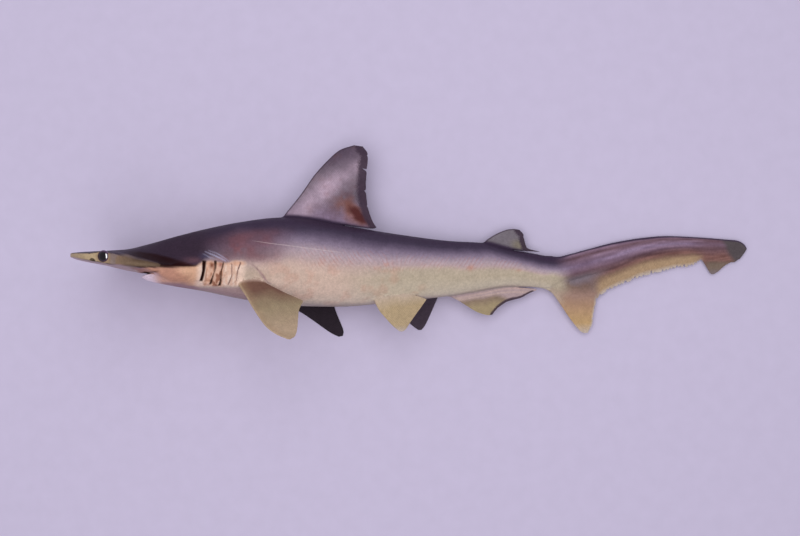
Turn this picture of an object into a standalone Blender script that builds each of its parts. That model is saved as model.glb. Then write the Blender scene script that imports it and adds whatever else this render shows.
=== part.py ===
"""Young scalloped hammerhead shark, life size, laid out on its right side.

The body is drawn in its own three measures, all in millimetres: the station runs
back along the body's axis from the snout, the side runs towards the shark's left
flank, and the rise runs towards its back. The axis then bends through the room:
the head is propped up on its right wing tip and the trunk and tail lie on the floor.
In the room the head points to -X, the back to +Y and the left flank up to +Z.
"""

from math import cos, pi, radians, sin

import bmesh
import bpy
import numpy as np
from mathutils import Vector

MM = 0.001

# Driving dimensions, in millimetres
TOTAL_LENGTH = 572.0
WING_REACH = 75.4
ARCH_LENGTH = 33.0
HEAD_HEIGHT = 75.0
SNOUT_X = -261.0
GAP = 0.3

# Stations where the body is parted
GILL_START = 90.0
TRUNK_START = 126.0
REAR_START = 215.0
STALK_START = 312.0
TAIL_START = 400.0
JAW_START = 46.0

# The planes that part the wings and the lower jaw from the head
WING_CUT_FRONT = 20.0
WING_CUT_SLOPE = 13.0 / 72.0
JAW_CUT_RISE = -4.6
JAW_CUT_SLOPE = -0.075

EYE_STATION = 38.9
EYE_SIDE = 70.3
EYE_RISE = 7.9
EYE_RADIUS = 4.5
SOCKET_REACH = 6.0

# How square the hammer's edge and how round the trunk is: powers of a ring's sine
BLADE_POWER = 0.28
TRUNK_POWER = 0.92

# Waves of the hammer's front edge as (height, distance from the middle, width): the notch in the
# middle, the swelling beside it, the inner notch and the nostril's notch
FRONT_WAVES = ((2.4, 0, 9), (-1.0, 22, 8), (1.8, 39, 6), (1.2, 66, 4))
FRONT_WAVE_END = 34.0

# Half thickness of the fins at their edge and their root
EDGE_HALF = 0.32
MEDIAN_ROOT_HALF = 2.6
PECTORAL_ROOT_HALF = 2.8
PELVIC_ROOT_HALF = 1.8
LOBE_ROOT_HALF = 2.2
TAIL_RIDGE_HALF = 0.7

# How a fin's thickness falls off along its chord, behind its middle and towards its tip
CHORD_POWER = 0.6
REAR_THINNING = 0.45
TIP_POWER = 1.3

# The left paired fins stand off the body in planes through a point (station, side, rise)
PECTORAL_HINGE = (124.0, 26.0, -13.0)
PECTORAL_TILT = radians(55)
PELVIC_HINGE = (244.5, 14.0, -29.0)
PELVIC_TILT = radians(30)

# The right ones come down from a height and touch the floor from a share of their span on
PECTORAL_DROP, PECTORAL_LAND = 20.0, 0.5
PELVIC_DROP, PELVIC_LAND = 11.0, 0.6

# Stations where a long cut is sliced across
BEND_SLICES = (57, 61, 67, 72, 76, 80, 85)

RING_POINTS = 36
HEAD_STATIONS = (
    0.1, 0.8, 2.2, 5, 9, 14, 20, 26, 31, 35, 38, 41, 44, 47.5, 49.5, 51.5, 54.5, 58.5, 64, 70, 77, 84)
BODY_STATIONS = tuple(range(91, 400, 14)) + (400,)


class Profile:
    """A smooth line through (place, value) knots that never swings past them."""

    def __init__(self, *knots):
        self.at, self.value = np.array(knots, float).T
        step = np.diff(self.at)
        grade = np.diff(self.value) / step
        slope = [grade[0]]
        for before, after in zip(grade[:-1], grade[1:]):
            slope.append(2 * before * after / (before + after) if before * after > 0 else 0.0)
        self.slope = np.array(slope + [grade[-1]])

    def __call__(self, place):
        place = min(max(place, self.at[0]), self.at[-1])
        k = min(max(int(np.searchsorted(self.at, place)) - 1, 0), len(self.at) - 2)
        step = self.at[k + 1] - self.at[k]
        t = (place - self.at[k]) / step
        ends = (1 + 2 * t) * (1 - t) ** 2 * self.value[k] + t * t * (3 - 2 * t) * self.value[k + 1]
        bend = t * (1 - t) ** 2 * self.slope[k] - t * t * (1 - t) * self.slope[k + 1]
        return ends + bend * step


class Outline:
    """A line of smooth pieces through points of a plane, walked from 0 to 1 by length."""

    def __init__(self, *pieces):
        walked = []
        for piece in pieces:
            points = np.array(piece, float)
            lead = np.vstack([2 * points[0] - points[1], points, 2 * points[-1] - points[-2]])
            for k in range(1, len(points)):
                before, start, end, after = lead[k - 1:k + 3]
                for t in np.arange(0, 1, 0.05):
                    pull = (end - before) * (t - 2 * t * t + t ** 3) + (after - start) * (t ** 3 - t * t)
                    walked.append(start + (end - start) * (3 * t * t - 2 * t ** 3) + pull / 2)
            walked.append(points[-1])
        self.points = np.array(walked)
        length = np.hypot(*np.diff(self.points, axis=0).T).cumsum()
        self.share = np.concatenate([[0.0], length / length[-1]])

    def __call__(self, share):
        return np.array([np.interp(share, self.share, column) for column in self.points.T])


def ease(t):
    """A smooth climb from 0 to 1."""
    t = min(max(t, 0.0), 1.0)
    return t * t * (3 - 2 * t)


def mix(a, b, share):
    """The value at a share of the way from a to b."""
    return a + (b - a) * share


# Long lines of the body: the back, the belly, the half width and the level of the widest line
BACK = Profile(
    (0, 9.4), (1.5, 10.4), (5, 11.5), (16, 12.6), (38, 13.8), (55, 17.9), (80, 25.2), (107, 32.1),
    (134, 37.6), (161, 41.3), (176, 42.0), (190, 40.8), (220, 35.4), (270, 27.4), (312, 22.3),
    (340, 20.8), (366, 14.8), (400, 9.6))
BELLY = Profile(
    (0, 9.0), (1.5, 7.6), (7, 4.8), (26, 0.2), (41, -3.3), (48.5, -4.7), (51.5, -8.6), (56, -11.0),
    (75, -15.3), (100, -19.7), (141, -28.0), (183, -33.0), (217, -33.7), (269, -29.2), (314, -24.6),
    (338, -20.7), (365, -17.0), (385, -17.2), (400, -19.0))
HALF_WIDTH = Profile(
    (33, WING_REACH), (39.5, 75.2), (43.8, 72.2), (50.0, 59.8), (59.6, 45.5), (68.8, 36.2), (77, 31.0),
    (88, 27.6), (100, 27.0), (118, 27.6), (145, 29.3), (175, 30.0), (200, 29.8), (217, 29.2), (245, 27.2),
    (270, 24.7), (320, 18.7), (365, 12.5), (400, 8.3))
WIDEST_RISE = Profile(
    (0, 9.2), (20, 8.3), (37, 7.3), (50, 4.9), (60, 3.0), (70, 1.5), (88, 0.8), (105, 1.6), (130, 3.8),
    (160, 4.6), (190, 3.6), (217, 1.4), (250, -0.4), (300, -1.0), (340, -0.6), (370, -2.0), (400, -4.7))

# The blade of the hammer: its upper and lower edge lines, and how wide the head's core swells on it
BLADE_TOP = Profile(
    (0, 9.4), (2, 10.4), (8, 11.2), (28, 11.5), (34, 12.7), (39, 12.6), (42.5, 12.0), (49.4, 9.9),
    (59.6, 6.2), (68.8, 3.1), (77, 1.8), (90, 1.0))
BLADE_BOTTOM = Profile(
    (0, 9.0), (2, 7.8), (14, 5.9), (20, 4.9), (27, 3.6), (33, 2.5), (38, 1.6), (42.5, 0.4), (50, -0.2),
    (69, 0.0), (90, 0.6))
CORE_ABOVE = Profile((0, 60), (36, 50), (50, 42), (62, 36), (75, 31), (92, 28))
CORE_BELOW = Profile((0, 60), (40, 40), (50, 31), (62, 27), (92, 27))

# Height of the body's axis over the floor: level in the stiff head, bent down in the neck, resting behind it
AXIS_HEIGHT = Profile(
    (0, HEAD_HEIGHT), (56, HEAD_HEIGHT), (78, 72.6), (100, 65.0), (125, 54.2), (150, 44.6), (180, 35.4),
    (215, 29.4), (245, 26.7), (270, 24.1), (320, 18.1), (365, 12.0), (400, 8.0), (440, 5.4), (500, 3.9),
    (575, 2.9))


def walk_axis():
    """The axis in the room: stations, X, Z and the climb per millimetre of length."""
    station = np.arange(0, TOTAL_LENGTH + 8, 0.5)
    height = np.array([AXIS_HEIGHT(s) for s in station])
    climb = np.gradient(height, station)
    forward = np.sqrt(1 - climb ** 2)
    along = np.concatenate([[0], np.cumsum((forward[1:] + forward[:-1]) / 2 * 0.5)]) + SNOUT_X
    return station, along, height, climb


AXIS = walk_axis()


def axis_frame(station):
    """Point of the axis, its direction towards the tail and the direction of the left flank."""
    x, z, climb = (np.interp(station, AXIS[0], line) for line in AXIS[1:])
    forward = (1 - climb ** 2) ** 0.5
    return np.array([x, 0.0, z]), np.array([forward, 0.0, climb]), np.array([-climb, 0.0, forward])


def in_room(point):
    """A point in millimetres as a Vector in metres, pressed flat where it would sink in the floor."""
    return Vector((point[0], point[1], max(point[2], 0.0))) * MM


def place(station, side, rise):
    """Where a point of the body lies in the room."""
    centre, _, left = axis_frame(station)
    return in_room(centre + left * side + np.array([0, rise, 0]))


def half_width(station):
    """Half the body's width: a broad arch in front of the eyes, then the measured line."""
    if station < ARCH_LENGTH:
        return WING_REACH * (1 - (1 - station / ARCH_LENGTH) ** 2) ** (1 / 2.2)
    return HALF_WIDTH(station)


def front_scallop(station, side):
    """Shift of the hammer's front edge, which fades out behind it."""
    wave = sum(height * np.exp(-((abs(side) - middle) / width) ** 2) for height, middle, width in FRONT_WAVES)
    return wave * (1 - ease(station / FRONT_WAVE_END))


def swell(share):
    """Rounded hump of the head's core on the blade: 1 in the middle, 0 at the core's edge."""
    return (0.5 + 0.5 * cos(pi * min(share, 1.0))) ** 0.65


def upper_and_lower(station, side):
    """The rises of the skin above and below a place, before its edge is rounded."""
    reach = abs(side)
    fill_up = mix(swell(reach / CORE_ABOVE(station)), 1.0, ease((station - 72) / 30))
    fill_down = mix(swell(reach / CORE_BELOW(station)), 1.0, ease((station - 50) / 28))
    blade_top = mix(BLADE_TOP(station), WIDEST_RISE(station), ease((station - 80) / 20))
    blade_bottom = mix(BLADE_BOTTOM(station), WIDEST_RISE(station), ease((station - 80) / 20))
    return mix(blade_top, BACK(station), fill_up), mix(blade_bottom, BELLY(station), fill_down)


def ring_point(station, angle):
    """A point of the body's skin as (station, side, rise), with the angle 0 at the left flank."""
    side = half_width(station) * cos(angle)
    upper, lower = upper_and_lower(station, side)
    middle = WIDEST_RISE(station)
    power = mix(BLADE_POWER, TRUNK_POWER, ease((station - 50) / 55))
    lift = abs(sin(angle)) ** power
    rise = middle + ((upper - middle) if sin(angle) > 0 else (lower - middle)) * lift
    return station + front_scallop(station, side), side, rise


def flank(station, rise, grow=0.0):
    """Half width of the trunk at a rise, with the skin grown by a margin."""
    middle = WIDEST_RISE(station)
    limit = BACK(station) if rise > middle else BELLY(station)
    lift = min(abs((rise - middle) / (limit - middle)), 0.999)
    return half_width(station) * (1 - lift ** (2 / TRUNK_POWER)) ** 0.5 + grow


# Meshes and objects

def material(name, colour, roughness):
    """A plain finish."""
    finish = bpy.data.materials.new(name)
    finish.use_nodes = True
    shader = finish.node_tree.nodes["Principled BSDF"]
    shader.inputs["Base Color"].default_value = (*colour, 1)
    shader.inputs["Roughness"].default_value = roughness
    finish.diffuse_color = (*colour, 1)
    return finish


def add_object(name, mesh, finish, smooth_angle=50):
    """Puts a mesh in the room as one named piece."""
    mesh.materials.append(finish)
    piece = bpy.data.objects.new(name, mesh)
    bpy.context.collection.objects.link(piece)
    mesh.shade_smooth()
    mesh.set_sharp_from_angle(angle=radians(smooth_angle))
    return piece


def finish_mesh(shape, name):
    """Turns a closed bmesh into a mesh of triangles that faces outwards."""
    bmesh.ops.triangulate(shape, faces=shape.faces)
    bmesh.ops.recalc_face_normals(shape, faces=shape.faces)
    mesh = bpy.data.meshes.new(name)
    shape.to_mesh(mesh)
    shape.free()
    return mesh


def whole_body():
    """The body without its fins, in the body's own measures, from the snout to the tail's root."""
    shape = bmesh.new()
    rings = []
    for station in HEAD_STATIONS + BODY_STATIONS:
        angles = [2 * pi * k / RING_POINTS for k in range(RING_POINTS)]
        rings.append([shape.verts.new(ring_point(station, angle)) for angle in angles])
    for ring, after in zip(rings, rings[1:]):
        for k in range(RING_POINTS):
            shape.faces.new((ring[k - 1], ring[k], after[k], after[k - 1]))
    shape.faces.new(rings[0])
    shape.faces.new(rings[-1])
    bmesh.ops.recalc_face_normals(shape, faces=shape.faces)
    return shape


def cut(shape, point, outward):
    """Takes away what lies outside a plane and closes the cut.

    The closing face is sliced across where the axis bends, so that both sides of a cut bend alike.
    """
    geometry = list(shape.verts) + list(shape.edges) + list(shape.faces)
    edges = bmesh.ops.bisect_plane(
        shape, geom=geometry, dist=1e-4, plane_co=point, plane_no=outward, clear_outer=True)["geom_cut"]
    rim = [edge for edge in edges if isinstance(edge, bmesh.types.BMEdge)]
    cap = bmesh.ops.edgeloop_fill(shape, edges=rim)["faces"]
    for station in BEND_SLICES:
        pieces = set(cap)
        for face in cap:
            pieces.update(face.edges)
            pieces.update(face.verts)
        split = bmesh.ops.bisect_plane(
            shape, geom=list(pieces), dist=1e-4, plane_co=(station, 0, 0), plane_no=(1, 0, 0))["geom"]
        cap = [item for item in split if isinstance(item, bmesh.types.BMFace)]


def body_piece(name, finish, cuts):
    """One length of the body, kept inside its planes and bent onto the axis."""
    shape = whole_body()
    for point, outward in cuts:
        cut(shape, Vector(point) - Vector(outward).normalized() * GAP / 2, outward)
    for corner in shape.verts:
        corner.co = place(*corner.co)
    return add_object(name, finish_mesh(shape, name), finish)


def between(front, rear):
    """The two planes that keep the stations from front to rear."""
    return [((front, 0, 0), (-1, 0, 0)), ((rear, 0, 0), (1, 0, 0))]


def wing_plane(flank_sign, outward_sign):
    """Plane at a wing's root, slanted so that it meets the rear edge squarely."""
    outward = Vector((-WING_CUT_SLOPE, flank_sign, 0)) * outward_sign
    return (0, flank_sign * WING_CUT_FRONT, 0), outward


def sheet(name, finish, near, far):
    """A closed blade between two grids of room points, joined all round their edges."""
    shape = bmesh.new()
    rows, columns = len(near), len(near[0])
    sides = [[[shape.verts.new(point) for point in row] for row in grid] for grid in (near, far)]
    for grid in sides:
        for i in range(rows - 1):
            for j in range(columns - 1):
                shape.faces.new((grid[i][j], grid[i][j + 1], grid[i + 1][j + 1], grid[i + 1][j]))
    border = [(0, j) for j in range(columns)] + [(i, columns - 1) for i in range(1, rows)]
    border += [(rows - 1, j) for j in range(columns - 2, -1, -1)] + [(i, 0) for i in range(rows - 2, 0, -1)]
    for (i, j), (k, m) in zip(border, border[1:] + border[:1]):
        shape.faces.new((sides[0][i][j], sides[0][k][m], sides[1][k][m], sides[1][i][j]))
    return add_object(name, finish_mesh(shape, name), finish)


def blade_thickness(chord, span, root):
    """Half thickness of a fin: rounded along its chord and thinner towards the tip."""
    body = (4 * chord * (1 - chord)) ** CHORD_POWER * (1 - REAR_THINNING * chord)
    return mix(EDGE_HALF, root, body * (1 - span) ** TIP_POWER)


def median_fin(name, finish, front, rear, root_line, direction, rows=9, columns=9):
    """A fin in the middle plane. Its root follows a line of the body, a gap away from it."""
    near, far = [], []
    for i in range(rows):
        span = i / (rows - 1)
        lead, trail = front(span), rear(span)
        line = []
        for j in range(columns):
            chord = j / (columns - 1)
            station, rise = mix(lead, trail, chord)
            root = root_line(station) + direction * GAP
            if i == 0:
                rise = root
            else:
                rise = direction * max(direction * rise, direction * root + 5 * span)
            line.append((station, blade_thickness(chord, span, MEDIAN_ROOT_HALF), rise))
        near.append([place(s, half, rise) for s, half, rise in line])
        far.append([place(s, -half, rise) for s, half, rise in line])
    return sheet(name, finish, near, far)


def paired_fin(name, finish, front, rear, root, root_half, spread, rows=10, columns=9):
    """A pectoral or pelvic fin.

    root gives the (station, side sign, rise) of the fin's base from 0 in front to 1 behind, and
    spread turns an outline point and its half thickness into the two room points of the blade.
    The first row sits on the skin, and the next rows ease from there into the blade.
    """
    near, far = [], []
    shifts = []
    for i in range(rows):
        span = (i / (rows - 1)) ** 1.15
        row_near, row_far = [], []
        for j in range(columns):
            chord = j / (columns - 1)
            u, v = mix(front(span), rear(span), chord)
            half = blade_thickness(chord, span, root_half)
            upper, lower = spread(u, v, half, span)
            if i == 0:
                station, sign, rise = root(chord)
                ends = [
                    np.array(skin_place(station, sign, rise + lean)) for lean in (half + 0.2, -half - 0.2)]
                shifts.append((ends[0] - upper, ends[1] - lower))
            fade = (1 - ease(span / 0.3)) if i else 1.0
            row_near.append(in_room(upper + shifts[j][0] * fade))
            row_far.append(in_room(lower + shifts[j][1] * fade))
        near.append(row_near)
        far.append(row_far)
    return sheet(name, finish, near, far)


def skin_place(station, sign, rise):
    """A room point in millimetres, a gap away from the flank's skin."""
    centre, _, left = axis_frame(station)
    return centre + left * sign * flank(station, rise, 2 * GAP) + np.array([0, rise, 0])


def tilted_plane(hinge, tilt):
    """A stiff fin plane that starts on the flank and leans out from the middle plane by its tilt."""
    station, side, rise = hinge
    centre, back, left = axis_frame(station)
    origin = centre + left * side + np.array([0, rise, 0])
    out = left * sin(tilt) - np.array([0, cos(tilt), 0])
    normal = left * cos(tilt) + np.array([0, sin(tilt), 0])

    def spread(u, v, half, _):
        point = origin + back * u + out * v
        return point + normal * half, point - normal * half

    return spread


def floor_plane(root_height, land):
    """A limp fin that comes down from its base and lies on the floor from the span given by land."""

    def spread(x, y, half, span):
        height = half + root_height * (1 - ease(span / land)) ** 1.5
        return np.array([x, y, height - half]), np.array([x, y, height + half])

    return spread


# The pieces

def add_body(skin, olive, pale):
    """The head, jaw, wings and trunk. Gives back the two wings."""
    left_wing, right_wing = wing_plane(1, 1), wing_plane(-1, 1)
    jaw_point = (JAW_START, 0, JAW_CUT_RISE)
    jaw_normal = Vector((-JAW_CUT_SLOPE, 0, 1))
    core = [((GILL_START, 0, 0), (1, 0, 0)), left_wing, right_wing]
    body_piece("head", skin, core + [(jaw_point, -jaw_normal)])
    body_piece("lower_jaw", pale, core + [(jaw_point, jaw_normal), ((JAW_START, 0, 0), (-1, 0, 0))])
    wings = []
    for name, sign in (("hammer_wing_left", 1), ("hammer_wing_right", -1)):
        wings.append(body_piece(name, olive, [wing_plane(sign, -1)]))
    body_piece("gill_region", skin, between(GILL_START, TRUNK_START))
    body_piece("trunk_front", skin, between(TRUNK_START, REAR_START))
    body_piece("trunk_rear", skin, between(REAR_START, STALK_START))
    body_piece("tail_stalk", skin, between(STALK_START, TAIL_START - GAP / 2))
    return wings


def add_ball(name, centre, radius, finish, reach=0.0):
    """An eyeball, or with a reach the cutter of its socket, drawn out along Z past the wing's tip."""
    shape = bmesh.new()
    bmesh.ops.create_uvsphere(shape, u_segments=16, v_segments=10, radius=radius * MM)
    for corner in shape.verts:
        if corner.co.z * reach > 1e-9:
            corner.co.z += reach * MM
    mesh = bpy.data.meshes.new(name)
    shape.to_mesh(mesh)
    shape.free()
    ball = add_object(name, mesh, finish)
    ball.location = centre
    return ball


def add_eyes(wings, finish):
    """An eye at each wing tip, in a socket cut a gap wider than the eyeball."""
    for wing, side, name in ((wings[0], 1, "left"), (wings[1], -1, "right")):
        centre = place(EYE_STATION, side * EYE_SIDE, EYE_RISE)
        add_ball(f"eye_{name}", centre, EYE_RADIUS, finish)
        socket = add_ball(f"socket_cutter_{name}", centre, EYE_RADIUS + GAP, finish, side * SOCKET_REACH)
        socket.hide_render = True
        socket.display_type = "WIRE"
        carve = wing.modifiers.new("eye socket", "BOOLEAN")
        carve.operation = "DIFFERENCE"
        carve.object = socket


def add_median_fins(skin):
    """The two dorsal fins on the back and the anal fin under the tail stalk."""
    first_front = Outline(
        [(169, 42.6), (183.4, 60.6), (195.3, 77.6), (207.2, 90.9), (217, 99.3), (229, 103.6)])
    first_rear = Outline(
        [(219.5, 36.0), (249.7, 31.6)],
        [
            (249.7, 31.6), (245.0, 39.2), (241.2, 50.0), (239.3, 66.0), (240.3, 84.0), (241.0, 96.0),
            (236.5, 102.6)])
    median_fin("dorsal_fin_first", skin, first_front, first_rear, BACK, 1, rows=13, columns=11)
    second_front = Outline([(340.7, 21.2), (350.4, 27.6), (360.6, 32.0), (368.0, 33.0)])
    second_rear = Outline(
        [(366.0, 15.2), (392.0, 10.8)],
        [(392.0, 10.8), (385.5, 12.0), (379.8, 15.8), (377.3, 22.5), (376.0, 28.6), (372.5, 32.2)])
    median_fin("dorsal_fin_second", skin, second_front, second_rear, BACK, 1)
    anal_front = Outline([(310.0, -25.4), (318.0, -28.4), (333.7, -37.9), (342.0, -41.0), (345.5, -41.6)])
    anal_rear = Outline(
        [(370.0, -17.4), (391.0, -19.0)],
        [(391.0, -19.0), (383.0, -22.0), (374.0, -26.6), (362.7, -29.6), (354.8, -34.5), (348.5, -41.2)])
    median_fin("anal_fin", skin, anal_front, anal_rear, BELLY, -1)


def left_pectoral_root(chord):
    """Base of the left pectoral fin on the skin: station, side sign and rise, from front to rear."""
    return mix(123.6, 145.5, chord), 1, mix(-13.4, -12.6, chord)


def right_pectoral_root(chord):
    """Base of the right pectoral fin."""
    return mix(131.0, 153.0, chord), -1, mix(-14.0, -13.5, chord)


def left_pelvic_root(chord):
    """Base of the left pelvic fin."""
    return mix(244.5, 279.0, chord), 1, mix(-27.6, -23.8, chord)


def right_pelvic_root(chord):
    """Base of the right pelvic fin."""
    return mix(252.0, 286.0, chord), -1, mix(-26.4, -23.0, chord)


def add_paired_fins(olive):
    """The left fins stand off the body. The right ones lie pressed and swept back on the floor."""
    pectoral_front = Outline([(0.0, 0.0), (1.8, 27.0), (6.1, 54.4), (12.0, 66.5), (20.0, 73.6)])
    pectoral_rear = Outline(
        [(21.0, -1.0), (34.0, 13.5), (47.0, 25.2)],
        [(47.0, 25.2), (39.4, 38.5), (32.7, 57.8), (27.6, 69.6), (22.0, 73.9)])
    paired_fin(
        "pectoral_fin_left", olive, pectoral_front, pectoral_rear, left_pectoral_root, PECTORAL_ROOT_HALF,
        tilted_plane(PECTORAL_HINGE, PECTORAL_TILT), rows=12)
    resting_front = Outline(
        [(-142.0, -15.0), (-114.0, -27.0), (-87.8, -39.5), (-62.9, -56.6), (-54.2, -61.0)])
    resting_rear = Outline(
        [(-123.0, -15.0), (-90.0, -22.0), (-60.0, -29.0)],
        [(-60.0, -29.0), (-56.5, -40.0), (-50.4, -55.0), (-50.8, -60.2)])
    paired_fin(
        "pectoral_fin_right", olive, resting_front, resting_rear, right_pectoral_root, PECTORAL_ROOT_HALF,
        floor_plane(PECTORAL_DROP, PECTORAL_LAND), rows=12)
    pelvic_front = Outline([(0.0, 2.0), (7.0, 11.9), (14.9, 22.2), (20.5, 27.8)])
    pelvic_rear = Outline(
        [(34.0, -3.0), (44.9, -1.4)],
        [(44.9, -1.4), (38.4, 8.0), (30.1, 20.0), (25.6, 27.0), (22.5, 28.3)])
    paired_fin(
        "pelvic_fin_left", olive, pelvic_front, pelvic_rear, left_pelvic_root, PELVIC_ROOT_HALF,
        tilted_plane(PELVIC_HINGE, PELVIC_TILT), rows=8)
    limp_front = Outline([(-15.0, -27.5), (-2.0, -40.0), (8.3, -49.9), (15.4, -55.2)])
    limp_rear = Outline(
        [(20.0, -26.0), (32.5, -25.5)],
        [(32.5, -25.5), (27.0, -38.6), (21.4, -50.5), (18.0, -55.0)])
    paired_fin(
        "pelvic_fin_right", olive, limp_front, limp_rear, right_pelvic_root, PELVIC_ROOT_HALF,
        floor_plane(PELVIC_DROP, PELVIC_LAND), rows=8)


# The tail's lobes: top and bottom lines, the muscle's lower line and the half thickness of the muscle
TAIL_TOP = Profile(
    (400, 9.6), (406, 8.9), (417, 11.2), (432, 15.2), (456, 21.3), (482, 25.5), (502, 27.0), (527, 26.0),
    (554, 24.0), (562.8, 23.2), (566.2, 22.2), (569.5, 19.9), (571.2, 17.7), (571.8, 16.1))
TAIL_BOTTOM = Profile(
    (400, -19.0), (420, -22.6), (440, -28.4), (441.6, -28.0), (450, -20.8), (465, -14.2), (482, -7.4),
    (500, -3.0), (510, -1.0), (519, 0.1), (524.5, 1.4), (528, 3.2), (531.9, 6.4), (536.6, 0.4),
    (540.7, -5.9), (542.2, -6.3), (551.4, -0.2), (557.4, 3.5), (562.8, 5.0), (566.2, 7.3), (569.5, 11.7),
    (571.8, 15.0))
TAIL_MUSCLE = Profile(
    (400, -19), (410, -14.0), (429, -8.7), (455, -1.7), (482, 8.7), (518, 14), (560, 15), (572, 15.6))
TAIL_HALF = Profile((400, 8.3), (415, 6.9), (440, 5.4), (475, 3.9), (520, 2.6), (560, 1.4), (572, 0.5))
TAIL_OFFSETS = (
    0, 5, 11, 18, 26, 34, 41.5, 50, 60, 71, 83, 95, 106, 116, 124, 128, 131.8, 136.6, 140.7, 145, 151, 157,
    162.5, 166, 169, 171.6)


def add_tail(skin, amber):
    """The upper lobe with its thick muscle along the top edge, and the lower lobe under it."""
    near, far = [], []
    columns = 12
    for offset in TAIL_OFFSETS:
        station = TAIL_START + GAP / 2 + offset
        top, bottom, muscle = TAIL_TOP(station), TAIL_BOTTOM(station), TAIL_MUSCLE(station)
        line = []
        for j in range(columns):
            down = (1 - cos(pi * j / (columns - 1))) / 2
            rise = mix(top, bottom, down)
            deep = min(max((top - rise) / (top - min(muscle, top - 0.5)), 0.0), 1.0)
            muscle_half = TAIL_HALF(station) * (4 * deep * (1 - deep)) ** 0.5
            half = max(muscle_half, mix(TAIL_RIDGE_HALF, EDGE_HALF, down))
            line.append((station, half, rise))
        near.append([place(s, half, rise) for s, half, rise in line])
        far.append([place(s, -half, rise) for s, half, rise in line])
    sheet("caudal_fin_upper", skin, near, far)
    lobe_front = Outline(
        [(394.6, -18.6), (401.5, -22.6), (408.6, -32.1), (418.3, -46.1), (426.5, -55.8), (430.5, -57.5)])
    lobe_rear = Outline([(440.6, -29.0), (438.3, -39.2), (436.8, -49.6), (433.0, -57.1)])
    near, far = [], []
    rows, columns = 9, 10
    for i in range(rows):
        span = i / (rows - 1)
        line = []
        for j in range(columns):
            chord = j / (columns - 1)
            station, rise = mix(lobe_front(span), lobe_rear(span), chord)
            border = (BELLY if station < TAIL_START else TAIL_BOTTOM)(min(station, 440.0)) - 1.5 * GAP
            rise = border if i == 0 else min(rise, border - 4 * span)
            line.append((station, blade_thickness(chord, span, LOBE_ROOT_HALF), rise))
        near.append([place(s, half, rise) for s, half, rise in line])
        far.append([place(s, -half, rise) for s, half, rise in line])
    sheet("caudal_fin_lower", amber, near, far)


def centre_over_origin():
    """Hangs every piece on one empty that brings the middle of the whole fish over the origin."""
    bpy.context.view_layer.update()
    pieces = list(bpy.context.collection.objects)
    corners = np.array([
        piece.matrix_world @ corner.co for piece in pieces if not piece.hide_render
        for corner in piece.data.vertices])
    middle = (corners.min(axis=0) + corners.max(axis=0)) / 2
    fish = bpy.data.objects.new("fish", None)
    bpy.context.collection.objects.link(fish)
    fish.location = (-middle[0], -middle[1], 0)
    for piece in pieces:
        piece.parent = fish


def main():
    """Empties the scene and builds the fish."""
    for item in list(bpy.data.objects):
        bpy.data.objects.remove(item)
    skin = material("grey shark skin", (0.16, 0.13, 0.15), 0.4)
    olive = material("olive fin skin", (0.30, 0.25, 0.13), 0.45)
    pale = material("pale throat skin", (0.62, 0.50, 0.42), 0.45)
    amber = material("amber tail web", (0.50, 0.34, 0.16), 0.45)
    eye = material("dark eye", (0.01, 0.01, 0.012), 0.08)
    wings = add_body(skin, olive, pale)
    add_eyes(wings, eye)
    add_median_fins(skin)
    add_paired_fins(olive)
    add_tail(skin, amber)
    centre_over_origin()


main()
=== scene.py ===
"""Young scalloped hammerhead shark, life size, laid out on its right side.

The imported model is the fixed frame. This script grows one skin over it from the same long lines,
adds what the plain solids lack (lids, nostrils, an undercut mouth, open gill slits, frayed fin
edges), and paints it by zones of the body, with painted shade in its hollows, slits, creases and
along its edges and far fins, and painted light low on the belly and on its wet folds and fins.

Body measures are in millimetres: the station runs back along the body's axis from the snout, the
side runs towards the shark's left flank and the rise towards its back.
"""

import logging
from dataclasses import dataclass, field
from enum import Enum
from math import cos, pi, radians, sin

import bmesh
import bpy
import numpy as np
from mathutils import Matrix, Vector
from mathutils.bvhtree import BVHTree
from mathutils.kdtree import KDTree


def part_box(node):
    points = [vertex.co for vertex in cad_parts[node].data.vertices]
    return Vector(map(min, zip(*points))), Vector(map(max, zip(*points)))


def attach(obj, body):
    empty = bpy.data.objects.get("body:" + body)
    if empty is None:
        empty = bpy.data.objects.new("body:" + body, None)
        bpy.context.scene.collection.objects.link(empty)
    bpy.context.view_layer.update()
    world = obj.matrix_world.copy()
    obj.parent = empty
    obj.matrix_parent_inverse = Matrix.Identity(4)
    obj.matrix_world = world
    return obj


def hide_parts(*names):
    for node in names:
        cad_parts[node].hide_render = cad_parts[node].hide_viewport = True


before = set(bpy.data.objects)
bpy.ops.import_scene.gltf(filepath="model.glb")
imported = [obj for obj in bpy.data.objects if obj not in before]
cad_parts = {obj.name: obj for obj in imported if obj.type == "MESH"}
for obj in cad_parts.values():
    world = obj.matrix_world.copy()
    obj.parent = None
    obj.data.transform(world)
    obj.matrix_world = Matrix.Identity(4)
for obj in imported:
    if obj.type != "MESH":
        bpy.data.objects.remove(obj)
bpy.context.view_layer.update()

Array = np.ndarray
MM = 0.001
LOG = logging.getLogger("hammerhead")


def linear(code: str) -> Array:
    """Turns an sRGB hex colour into linear light.

    Args:
        code: The colour as "#rrggbb".

    Returns:
        The linear red, green and blue.
    """
    value = np.array([int(code[k:k + 2], 16) for k in (1, 3, 5)]) / 255
    return np.where(value <= 0.04045, value / 12.92, ((value + 0.055) / 1.055) ** 2.4)


def ease(share: Array) -> Array:
    """A smooth climb from 0 to 1."""
    share = np.clip(share, 0.0, 1.0)
    return share * share * (3 - 2 * share)


def mix(first: Array, last: Array, share: Array) -> Array:
    """Goes from first to last as share goes from 0 to 1."""
    return first + (last - first) * share


def hump(x: Array, centre: float, width: float) -> Array:
    """A smooth hump of height 1 that is about twice its width across."""
    return np.exp(-(((x - centre) / width) ** 2))


def window(x: Array, low: float, high: float, soft: float) -> Array:
    """1 between low and high and 0 outside, with soft ends."""
    return ease((x - low) / soft + 0.5) * ease((high - x) / soft + 0.5)


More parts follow.
